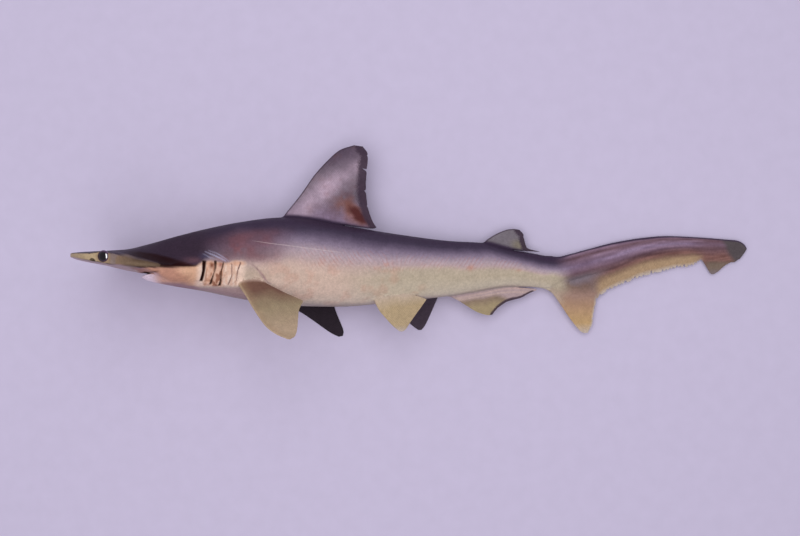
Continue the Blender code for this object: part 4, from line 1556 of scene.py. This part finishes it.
    def _tail(self) -> None:
        """Mauve muscle in long streaks under a dark edge, and a thin amber web below it."""
        station = self.station
        tail = ease((station - 400) / 22)
        depth = TAIL_TOP(station) - self.rise + 1.2 * self.large
        line = TAIL_MUSCLE(station)
        share = depth / np.maximum(TAIL_TOP(station) - line, 4)
        streak = cloud(np.stack([station * 0.09, share * 9, 0 * station], -1), 1.0, 5) - 0.5
        muscle = graded(
            share + 0.06 * streak, (0.03, Tone.TAIL_EDGE), (0.1, Tone.TAIL_MAUVE),
            (0.2, Tone.TAIL_BROWN), (0.32, Tone.TAIL_MAUVE), (0.5, Tone.TAIL_PALE),
            (0.68, Tone.TAIL_MAUVE), (0.8, Tone.TAIL_BROWN), (1.1, Tone.TAIL_RUST))
        muscle = muscle * (1 + 0.7 * streak[:, None] * (1.0, 1.15, 1.1))
        web = graded(
            (line - self.rise) / np.maximum(line - TAIL_BOTTOM(station), 3) + 0.08 * self.medium,
            (-0.2, Tone.TAIL_BROWN), (0.03, Tone.WEB_ROOT), (0.3, Tone.AMBER_DEEP),
            (0.5, Tone.AMBER), (0.75, Tone.AMBER), (1.0, Tone.AMBER_EDGE))
        over_web = self.rise - line + 1.6 * self.medium + 1.2 * self.small
        off_lobe = ease((station - 432) / 14)
        self._lay(muscle, tail)
        self._lay(Tone.TAIL_SMOKE, tail * ease((share - 0.75) / 0.3) * (1 - ease((station - 428) / 30)))
        self._lay(web, tail * ease((-0.5 - over_web) / 5.0) * off_lobe * (1 - ease((station - 525) / 12)))
        self._lay(self._lobe(), ease((station - 400) / 18) * ease((0.5 - over_web) / 9.0) * (1 - off_lobe))
        rear = ease((station - 520) / 20) * ease((over_web + 6) / 6)
        self._lay(Tone.TAIL_BROWN, rear * 0.65)
        tip = ease((station - 549 - 0.6 * (19 - self.rise)) / 7 + 0.3 * self.medium)
        self._lay(Tone.TAIL_TIP, tip)
        self._lay(Tone.TAIL_OLIVE, window(station, 536, 562, 8) * ease((7 - self.rise) / 5) * 0.85)
        self._lay(Tone.TAIL_SMOKE, window(station, 538, 562, 8) * ease((0 - self.rise) / 6) * 0.6)
        self._lay(Tone.TAIL_EDGE, tail * ease((1.9 - depth) / 1.3))

    def _lobe(self) -> Array:
        """Colours down the root of the tail's web and the lower lobe.

        Returns:
            One linear colour for each point.
        """
        return graded(
            -self.rise + 2.5 * self.medium, (4, Tone.TAIL_SMOKE), (10, Tone.TAIL_LOW), (17, Tone.WEB_ROOT),
            (24, Tone.LOBE_TAN), (33, Tone.LOBE_AMBER), (48, Tone.LOBE), (58, Tone.AMBER_EDGE))

    def _on(self, name: str) -> Array:
        """The share of a fin at every point."""
        return ease(self.skin.fin_share * 1.7) * (self.skin.fin_index == self.number[name])

    def _spot(self, station: float, rise: float, length: float, height: float) -> Array:
        """A soft oval patch round a place of the flank, by half its length and half its height."""
        return np.exp(-((self.station - station) / length) ** 2 - ((self.rise - rise) / height) ** 2)

    def _dorsal_fins(self) -> None:
        """Grey fins with a pale lilac front that is partly painted sheen, and a blood-stained rear base."""
        station, rise = self.station, self.rise
        lead = self.skin.marks[:, 1]
        base = ease((rise - BACK(station) - 0.5) / 3.5)
        first = self._on("dorsal_first") * base
        self._lay(graded(
            rise + 5 * self.medium, (42, Tone.DORSAL_BASE), (58, Tone.DORSAL_GREY),
            (74, Tone.DORSAL_GREY), (92, Tone.DORSAL_DARK)), first)
        # The first dorsal's pale lilac front: partly its own colour, partly a painted sheen
        pale = np.exp(-((rise - 64 - 0.5 * (station - 205)) / 15) ** 2 - ((lead - 14) / 13) ** 2)
        self._lay(Tone.DORSAL_PALE_AND_SHEEN, first * pale * (0.9 + self.medium))
        blush = np.exp(-((lead - 34) / 13) ** 2 - ((rise - 56) / 15) ** 2)
        self._lay(Tone.TAIL_BROWN, first * blush * ease(self.small * 2 + 0.7) * 0.7)
        slant = (station - 230) * 0.72 - (rise - 45) * 0.69
        across = (station - 230) * 0.69 + (rise - 45) * 0.72
        stain = np.exp(-(slant / 16.0) ** 2 - (across / 8.0) ** 2)
        self._lay(Tone.BLOOD_RED, first * ease(stain * 1.2 + 0.5 * self.medium + 0.4 * self.small) * 0.75)
        core = np.exp(-((slant - 3.0) / 10.0) ** 2 - ((across - 1.0) / 4.0) ** 2)
        self._lay(Tone.BLOOD_BROWN, first * ease(core * 1.5 + 0.6 * self.small))
        second = self._on("dorsal_second") * base
        self._lay(Tone.SECOND_GREY, second)
        cream = window(station, 366, 392, 8) * ease((26 - rise) / 6)
        self._lay(Tone.SECOND_REAR, second * cream * 0.7)

    def _lower_fins(self) -> None:
        """Olive paired fins, the far fins darkened with painted shade, the anal fin with painted glints at
        its root, and the tail's lower lobe.
        """
        station, rise = self.station, self.rise
        rim, lead, span = self.skin.marks.T
        anal = self._on("anal")
        height = BELLY(station) - rise
        self._lay(graded(
            height + 2 * self.medium - 9 * ease((station - 350) / 26), (4, Tone.ANAL_ROOT), (8, Tone.ANAL),
            (14, Tone.OLIVE_FIN)), anal)
        # Painted highlights: two pale streaks on the skin fold over the anal fin's root
        fleck = hump(height - 2.2 + (station - 340) * 0.03, 0, 0.9) + hump(height - 4.6, 0, 0.7)
        self._lay(Tone.BELLY_FRONT_AND_GLINT, anal * fleck * 0.4)
        pectoral = self._on("pectoral_left")
        out = span + 0.12 * self.medium
        self._lay(graded(
            out, (0.16, Tone.OLIVE_BROWN), (0.45, Tone.OLIVE_FIN), (0.8, Tone.OLIVE_PALE)), pectoral)
        self._lay(Tone.AMBER, pectoral * ease((8 - lead) / 7) * 0.45)
        self._lay(Tone.OLIVE_PALE, pectoral * ease((1.8 - lead) / 1.5) * 0.8)
        self._lay(Tone.BELLY_FRONT_AND_GLINT, pectoral * ease((0.05 - span) / 0.05) * 0.5)
        pelvic = self._on("pelvic_left")
        self._lay(graded(
            out, (0.0, Tone.BELLY), (0.3, Tone.PELVIC), (0.8, Tone.PELVIC),
            (1.0, Tone.PELVIC_TIP)), pelvic)
        # Painted shade on the far fins; on the far pectoral it also stands for its dusky underside
        for name, tone in (("pectoral_right", Tone.FAR_FIN_DUSK_AND_SHADE), ("pelvic_right", Tone.FAR_PELVIC_PAINTED_SHADE)):
            self._lay(tone, self._on(name) * ease(span / 0.05))
        lower = self._on("caudal_lower")
        self._lay(self._lobe(), lower)
        pale = ease((7 - lead) / 7) * ease((rise + 36) / 12)
        self._lay(Tone.BELLY, np.maximum(lower, window(station, 397, 425, 10) * (rise < 0)) * pale * 0.8)
        along = (station - 405) * 0.76 - (rise + 14) * 0.65
        across = (station - 405) * 0.65 + (rise + 14) * 0.76
        cream = np.exp(-((across + 3 * self.medium) / 6.5) ** 2) * (1 - ease((along - 1) / 17))
        self._lay(Tone.BELLY_REAR, cream * ease((station - 392) / 10) * ease((-2 - rise) / 6) * 0.85)
        edge = np.where((station > 428) & (rise > -53), ease((2.4 - rim) / 2.2), 0)
        self._lay(Tone.AMBER_EDGE, lower * edge * 0.8)

    def band(self) -> Array:
        """Finds the width of the dark band along a fin's rear edge.

        Returns:
            Millimetres for every point.
        """
        width = np.zeros(len(self.station))
        for name, (broad, measure, places, shares) in self.BANDS.items():
            on_fin = self.skin.fin_index == self.number[name]
            width[on_fin] = broad * np.interp(self.body[on_fin, measure], places, shares)
        return width

    def segments(self) -> Array:
        """Finds where the muscle segments and the lateral line show.

        Returns:
            Rows of the segments' phase, the distance from the lateral line and the segments' strength.
        """
        station, rise = self.station, self.rise
        slant = mix(0.75, -0.75, ease((station - 245) / 36))
        phase = (station + slant * (rise - 5)) * 2 * pi / self.segment_length
        seen = window(station, 142, 212, 18) * (self.skin.fin_share < 0.2) * (self.reach > 8)
        lateral = np.where(seen > 0.02, (rise - LATERAL_LINE(station)) / np.maximum(seen, 0.02) ** 0.5, 99)
        muscle = window(self.share, -0.1, 0.42, 0.2) * window(station, 175, 380, 50)
        muscle *= self.skin.fin_share < 0.3
        return np.stack([phase, lateral, muscle], -1)

    def rays(self) -> Array:
        """Finds where the fin rays show.

        Returns:
            Rows of the place across the rays, their strength and 0.
        """
        station, rise = self.station, self.rise
        share = ease(self.skin.fin_share * 1.7)
        on_body = self.skin.fin_index < 0
        web = window(station, 425, 560, 10) * ease((TAIL_MUSCLE(station) + 4 - rise) / 6) * on_body
        ray = np.where(on_body, station + 0.45 * rise, self.skin.marks[:, 1])
        strength = np.maximum(web, share * ease(self.skin.marks[:, 2] * 3))
        return np.stack([ray, strength, 0 * station], -1)


Socket = bpy.types.NodeSocket


class Nodes:
    """The node tree of one material or world."""

    def __init__(self, owner: bpy.types.Material | bpy.types.World) -> None:
        """Opens the tree of a new material or world.

        Args:
            owner: The material or world.
        """
        owner.use_nodes = True
        self.owner = owner
        self.tree = owner.node_tree

    def add(self, kind: str, inputs: dict | tuple = (), **settings: object) -> bpy.types.bpy_prop_collection:
        """Adds a node with its settings and links.

        Args:
            kind: The node's type without its ShaderNode prefix.
            inputs: Sockets or values for its inputs, by name or number, or in order from the first.
            **settings: Properties of the node.

        Returns:
            The node's outputs.
        """
        node = self.tree.nodes.new("ShaderNode" + kind)
        for key, value in settings.items():
            setattr(node, key, value)
        self.connect(node.name, inputs)
        return node.outputs

    def connect(self, name: str, inputs: dict | tuple) -> None:
        """Gives a node's inputs their links or values.

        Args:
            name: The node's name.
            inputs: Sockets or values for its inputs, by name or number, or in order from the first.
        """
        sockets = self.tree.nodes[name].inputs
        for key, value in inputs.items() if isinstance(inputs, dict) else enumerate(inputs):
            if isinstance(value, Socket):
                self.tree.links.new(value, sockets[key])
            else:
                sockets[key].default_value = value


@dataclass(frozen=True)
class WetSharkSkin:
    """Wet shark skin: tiny tooth-like scales under a film of water. Sizes are in millimetres."""

    # The eye sees soft matt colour with a broad wet sheen, red marks of the muscle segments through
    # the thin skin, and fin rays in the thin webs.
    roughness: float = 0.5
    specular: float = 0.08
    coat: float = 0.05
    coat_roughness: float = 0.16
    ior: float = 1.38
    fine_speckle: float = 0.769231
    mottle: float = 2.0
    broad_blotch: float = 6.25
    # Real scales are about 0.2 mm apart and real fin rays 0.3 mm; both are drawn coarser to be seen.
    scale_gap: float = 0.714286
    ray_gap: float = 1.3
    segment_mark: str = "#a06a62"
    segment_strength: float = 0.42
    lateral: str = "#d6c4c4"
    lateral_strength: float = 0.36
    rim_dark: str = "#3f3140"
    upper_fin_band: float = 3.4
    ray_contrast: float = 0.09

    def material(self) -> bpy.types.Material:
        """Builds the skin's nodes from the paint and the measures stored in the mesh.

        Returns:
            The material.
        """
        nodes = Nodes(bpy.data.materials.new("wet_shark_skin"))
        body = nodes.add("Attribute", attribute_name="body")["Vector"]
        fine, mottle, broad = (
            nodes.add("TexNoise", {"Vector": body, "Scale": 1 / size, "Detail": detail})["Fac"]
            for size, detail in ((self.fine_speckle, 3.0), (self.mottle, 4.0), (self.broad_blotch, 4.0)))
        colour = nodes.add("Attribute", attribute_name="paint")["Color"]
        colour = self._segments(nodes, colour, fine, broad)
        colour = self._edges(nodes, colour, fine)
        colour = self._rays(nodes, colour, broad)
        for noise, low, change in ((fine, 0.25, 0.09), (broad, 0.3, 0.06), (mottle, 0.3, 0.1)):
            value = nodes.add("MapRange", (noise, low, 1 - low, 1 - change, 1 + change))[0]
            colour = nodes.add("VectorMath", {0: colour, 3: value}, operation="SCALE")[0]
        grain = nodes.add("TexVoronoi", {"Vector": body, "Scale": 1 / self.scale_gap})["Distance"]
        height = nodes.add("Math", (grain, fine), operation="ADD")[0]
        driest, wettest = self.roughness + 0.08, self.roughness - 0.08
        nodes.connect("Principled BSDF", {
            "Base Color": colour,
            "Roughness": nodes.add("MapRange", (broad, 0.3, 0.7, wettest, driest))[0],
            "Normal": nodes.add("Bump", {"Strength": 0.14, "Distance": 0.2 * MM, "Height": height})[0],
            "IOR": self.ior, "Specular IOR Level": self.specular, "Coat Weight": self.coat,
            "Coat Roughness": self.coat_roughness})
        return nodes.owner

    def _segments(self, nodes: Nodes, colour: Socket, fine: Socket, broad: Socket) -> Socket:
        """Slanting red marks of the muscle segments and the pale lateral line.

        Args:
            nodes: The skin's nodes.
            colour: The colour so far.
            fine: Fine noise.
            broad: Broad noise.

        Returns:
            The new colour.
        """
        marks = nodes.add("Attribute", attribute_name="marks")["Vector"]
        segment, lateral, muscle = nodes.add("SeparateXYZ", (marks,))
        wobble = nodes.add("MapRange", (broad, 0.2, 0.8, -2.2, 2.2))[0]
        phase = nodes.add("Math", (segment, wobble), operation="ADD")[0]
        wave = nodes.add("Math", (phase,), operation="SINE")[0]
        stroke = nodes.add("MapRange", (wave, 0.0, 1.0, 0.0, self.segment_strength))[0]
        patchy = nodes.add("MapRange", (broad, 0.38, 0.62, 0.1, 1.0))[0]
        broken = nodes.add("MapRange", (fine, 0.3, 0.6, 0.3, 1.0))[0]
        for share in (patchy, broken, muscle):
            stroke = nodes.add("Math", (stroke, share), operation="MULTIPLY")[0]
        away = nodes.add("Math", (lateral,), operation="ABSOLUTE")[0]
        line = nodes.add("MapRange", (away, 0.5, 0.1, 0.0, self.lateral_strength))[0]
        for share, code in ((stroke, self.segment_mark), (line, self.lateral)):
            colour = nodes.add("Mix", {0: share, 6: colour, 7: (*linear(code), 1)}, data_type="RGBA")[2]
        return colour

    def _edges(self, nodes: Nodes, colour: Socket, fine: Socket) -> Socket:
        """Dark band along the rear edge and dark line along the front edge of the upper fins.

        Args:
            nodes: The skin's nodes.
            colour: The colour so far.
            fine: Fine noise.

        Returns:
            The new colour.
        """
        fin = nodes.add("Attribute", attribute_name="fin")["Vector"]
        rim, lead, band = nodes.add("SeparateXYZ", (fin,))
        broad = nodes.add("Math", (band, 0.5), operation="MAXIMUM")[0]
        share = nodes.add("Math", (rim, broad), operation="DIVIDE")[0]
        uneven = nodes.add("MapRange", (fine, 0.3, 0.7, -0.15, 0.15))[0]
        edge = nodes.add("Math", (share, uneven), operation="ADD")[0]
        edge = nodes.add("MapRange", (edge, 1.25, 0.8, 0.0, 0.92))[0]
        front = nodes.add("MapRange", (lead, 1.2, 0.5, 0.0, 0.8))[0]
        upper = nodes.add("Math", (band, self.upper_fin_band), operation="GREATER_THAN")[0]
        front = nodes.add("Math", (front, upper), operation="MULTIPLY")[0]
        both = nodes.add("Math", (edge, front), operation="MAXIMUM")[0]
        banded = nodes.add("Math", (band, 0.4), operation="GREATER_THAN")[0]
        both = nodes.add("Math", (both, banded), operation="MULTIPLY")[0]
        return nodes.add("Mix", {0: both, 6: colour, 7: (*linear(self.rim_dark), 1)}, data_type="RGBA")[2]

    def _rays(self, nodes: Nodes, colour: Socket, broad: Socket) -> Socket:
        """Fine lighter and darker rays in the fins and the tail's web.

        Args:
            nodes: The skin's nodes.
            colour: The colour so far.
            broad: Broad noise.

        Returns:
            The new colour.
        """
        rays = nodes.add("Attribute", attribute_name="rays")["Vector"]
        ray, strength, _ = nodes.add("SeparateXYZ", (rays,))
        turn = nodes.add("Math", (ray, 2 * pi / self.ray_gap), operation="MULTIPLY")[0]
        wobble = nodes.add("MapRange", (broad, 0.2, 0.8, -4.0, 4.0))[0]
        turn = nodes.add("Math", (turn, wobble), operation="ADD")[0]
        wave = nodes.add("Math", (turn,), operation="SINE")[0]
        for share in (strength, self.ray_contrast):
            wave = nodes.add("Math", (wave, share), operation="MULTIPLY")[0]
        value = nodes.add("Math", (wave, 1.0), operation="ADD")[0]
        return nodes.add("VectorMath", {0: colour, 3: value}, operation="SCALE")[0]


@dataclass(frozen=True)
class WetEye:
    """A dead fish's eye under its clear wet cornea, which is smooth as glass."""

    # The eye sees a wide black pupil, a thin dark bronze-violet iris and a sharp white gleam.
    pupil: str = "#070307"
    iris: str = "#37203c"
    # The eye's mean radius and its flecks in millimetres, and the pupil's edge in radii
    radius: float = 4.4
    fleck: float = 2.0
    pupil_edge: tuple[float, float] = (0.66, 0.84)
    roughness: float = 0.07
    ior: float = 1.38
    coat_roughness: float = 0.05

    def material(self) -> bpy.types.Material:
        """Builds the eye's nodes from the distance to the eye's own axis.

        Returns:
            The material.
        """
        nodes = Nodes(bpy.data.materials.new("wet_eye"))
        axis = nodes.add("Attribute", attribute_name="eye")["Vector"]
        away = nodes.add("VectorMath", (axis,), operation="LENGTH")["Value"]
        flecks = self.radius / self.fleck
        noise = nodes.add("TexNoise", {"Vector": axis, "Scale": flecks, "Detail": 3.0})["Fac"]
        ring = nodes.add("MapRange", (away, *self.pupil_edge, 0.0, 1.0))[0]
        flecked = nodes.add("MapRange", (noise, 0.3, 0.7, 0.5, 1.0))[0]
        ring = nodes.add("Math", (ring, flecked), operation="MULTIPLY")[0]
        colours = {6: (*linear(self.pupil), 1), 7: (*linear(self.iris), 1)}
        nodes.connect("Principled BSDF", {
            "Base Color": nodes.add("Mix", {0: ring, **colours}, data_type="RGBA")[2],
            "Roughness": self.roughness, "IOR": self.ior, "Coat Weight": 1.0,
            "Coat Roughness": self.coat_roughness})
        return nodes.owner


@dataclass(frozen=True)
class PaleLilacPaper:
    """The floor's matt sheet of pale lilac drawing paper, as it leaves the roller. Sizes are in mm."""

    # The eye sees an even pale lilac with hardly any gloss and a faint mottle.
    side: float
    mottle: float = 40 / 3
    colour: str = "#c9c0da"
    roughness: float = 0.9
    specular: float = 0.2

    def material(self) -> bpy.types.Material:
        """Builds the paper's nodes.

        Returns:
            The material.
        """
        nodes = Nodes(bpy.data.materials.new("pale_lilac_paper"))
        noise = nodes.add("TexNoise", {"Scale": self.side / self.mottle, "Detail": 2.0})["Fac"]
        shade = nodes.add("MapRange", (noise, 0.3, 0.7, 0.985, 1.015))[0]
        tone = nodes.add("VectorMath", {0: (*linear(self.colour),), 3: shade}, operation="SCALE")[0]
        nodes.connect("Principled BSDF", {
            "Base Color": tone, "Roughness": self.roughness, "Specular IOR Level": self.specular})
        return nodes.owner


@dataclass
class Shark:
    """The whole animal but its eyes, as one skin."""

    name: str = "young_hammerhead_skin"
    sharp: float = 62.0

    def build(self) -> bpy.types.Object:
        """Builds, paints and hangs the skin on the frame.

        Returns:
            The skin.
        """
        skin = Skin()
        marker = Marker(skin)
        mesh = skin.mesh
        count = len(skin.places)
        colour = mesh.color_attributes.new("paint", "FLOAT_COLOR", "POINT")
        colour.data.foreach_set("color", np.concatenate([marker.paint(), np.ones((count, 1))], 1).ravel())
        for name, rows in (
                ("body", skin.places), ("marks", marker.segments()), ("rays", marker.rays()),
                ("fin", np.column_stack([skin.marks[:, :2], marker.band()]))):
            store(mesh, name, rows)
        mesh.vertices.foreach_set("co", AXIS.to_room(skin.places).ravel())
        mesh.update()
        mesh.materials.clear()
        mesh.materials.append(WetSharkSkin().material())
        mesh.shade_smooth()
        mesh.set_sharp_from_angle(angle=radians(self.sharp))
        whole = hang(self.name, mesh)
        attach(whole, "root")
        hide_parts(*[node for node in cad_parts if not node.startswith("eye")])
        LOG.info("skin: %d faces", len(mesh.polygons))
        return whole


@dataclass
class Eyeball:
    """One eyeball in its orbit, a ball flattened towards the side."""

    flank: Flank
    slices: int = 64
    rings: int = 40

    def build(self) -> bpy.types.Object:
        """Builds, dresses and hangs the eyeball on the frame.

        Returns:
            The eyeball.
        """
        flank = self.flank
        ball = bmesh.new()
        bmesh.ops.create_uvsphere(ball, u_segments=self.slices, v_segments=self.rings, radius=1.0)
        mesh = bpy.data.meshes.new(f"eyeball_{flank.name.lower()}")
        ball.to_mesh(mesh)
        ball.free()
        unit = points_of(mesh)
        body = unit[:, [0, 2, 1]] * ORBIT.ball + (ORBIT.station, ORBIT.side, ORBIT.rise)
        body[:, 1] *= flank.value
        mesh.vertices.foreach_set("co", AXIS.to_room(body).ravel())
        store(mesh, "eye", unit * (1, 1, 0))
        mesh.materials.append(WetEye().material())
        mesh.shade_smooth()
        if flank is Flank.LEFT:
            mesh.flip_normals()
        eye = hang(mesh.name, mesh)
        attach(eye, "root")
        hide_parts(f"eye_{flank.name.lower()}")
        LOG.info("%s: %d faces", eye.name, len(mesh.polygons))
        return eye


@dataclass(frozen=True)
class SoftLight:
    """A soft oblong light that faces the middle of the floor, in metres and watts."""

    name: str
    place: tuple[float, float, float]
    size: tuple[float, float]
    power: float

    def build(self) -> bpy.types.Object:
        """Makes the light.

        Returns:
            The light.
        """
        light = bpy.data.lights.new(self.name, "AREA")
        light.shape = "RECTANGLE"
        light.size, light.size_y = self.size
        light.energy = self.power
        lamp = hang(self.name, light)
        lamp.location = self.place
        lamp.rotation_euler = Vector(self.place).to_track_quat("Z", "Y").to_euler()
        return lamp


@dataclass
class Studio:
    """Plain pale floor, soft light and the camera that looks straight down, in metres."""

    key: SoftLight = SoftLight("key", (-0.1, 0.1, 1.5), (1.9, 1.7), 21.5)
    eye_strip: SoftLight = SoftLight("catch_strip", (0.42, 0.06, 1.1), (1.2, 0.34), 26.0)
    eye_card: SoftLight = SoftLight("catch_card", (1.3, 0.05, 0.75), (1.4, 0.9), 13.0)
    lens: float = 51.75
    sensor: float = 36.0
    camera_height: float = 1.0065
    camera_offset: tuple[float, float] = (-0.0008, -0.00085)
    horizon: float = 0.5
    zenith: float = 0.25
    room_colour: str = "#f6f3fb"
    floor_half: float = 6.0

    def build(self, eyes: list[bpy.types.Object]) -> None:
        """Builds the floor, the lights and the camera. Two of the lights only gleam on the eyes.

        Args:
            eyes: The eyeballs.
        """
        self._floor()
        self.key.build().visible_glossy = False
        catch = bpy.data.collections.new("eyes_only")
        for eye in eyes:
            catch.objects.link(eye)
        for light in (self.eye_strip, self.eye_card):
            light.build().light_linking.receiver_collection = catch
        self._world()
        bpy.context.scene.view_settings.view_transform = "Standard"
        self._camera()

    def _world(self) -> None:
        """A soft room that is dim straight above and bright all round."""
        nodes = Nodes(bpy.data.worlds.new("soft_room"))
        up = nodes.add("SeparateXYZ", (nodes.add("TexCoord")["Generated"],))["Z"]
        strength = nodes.add("MapRange", (up, 0.3, 0.95, self.horizon, self.zenith))[0]
        nodes.connect("Background", {"Color": (*linear(self.room_colour), 1), "Strength": strength})
        bpy.context.scene.world = nodes.owner

    def _floor(self) -> None:
        """A wide square of paper at the height of zero."""
        corners = np.array([(-1, -1, 0), (1, -1, 0), (1, 1, 0), (-1, 1, 0)]) * self.floor_half
        mesh = mesh_from("floor", corners, np.array([(0, 1, 2, 3)]))
        mesh.materials.append(PaleLilacPaper(side=2 * self.floor_half / MM).material())
        floor = hang("floor", mesh)

    def _camera(self) -> None:
        """A camera over the middle of the picture, with the shark's head to the left."""
        data = bpy.data.cameras.new("camera")
        data.lens = self.lens
        data.sensor_width = self.sensor
        camera = hang("camera", data)
        across, along = AXIS.shift[:2] * MM + self.camera_offset
        camera.location = (across, along, self.camera_height)
        bpy.context.scene.camera = camera


def main() -> None:
    """Builds the shark and the studio, and reports each piece."""
    logging.basicConfig(level=logging.INFO, format="%(message)s")
    low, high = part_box("eye_left")
    AXIS.centre_on(NODE_EYE, low, high)
    LOG.info("shift %s", AXIS.shift)
    Shark().build()
    Studio().build([Eyeball(flank).build() for flank in Flank])


if __name__ == "__main__":
    main()
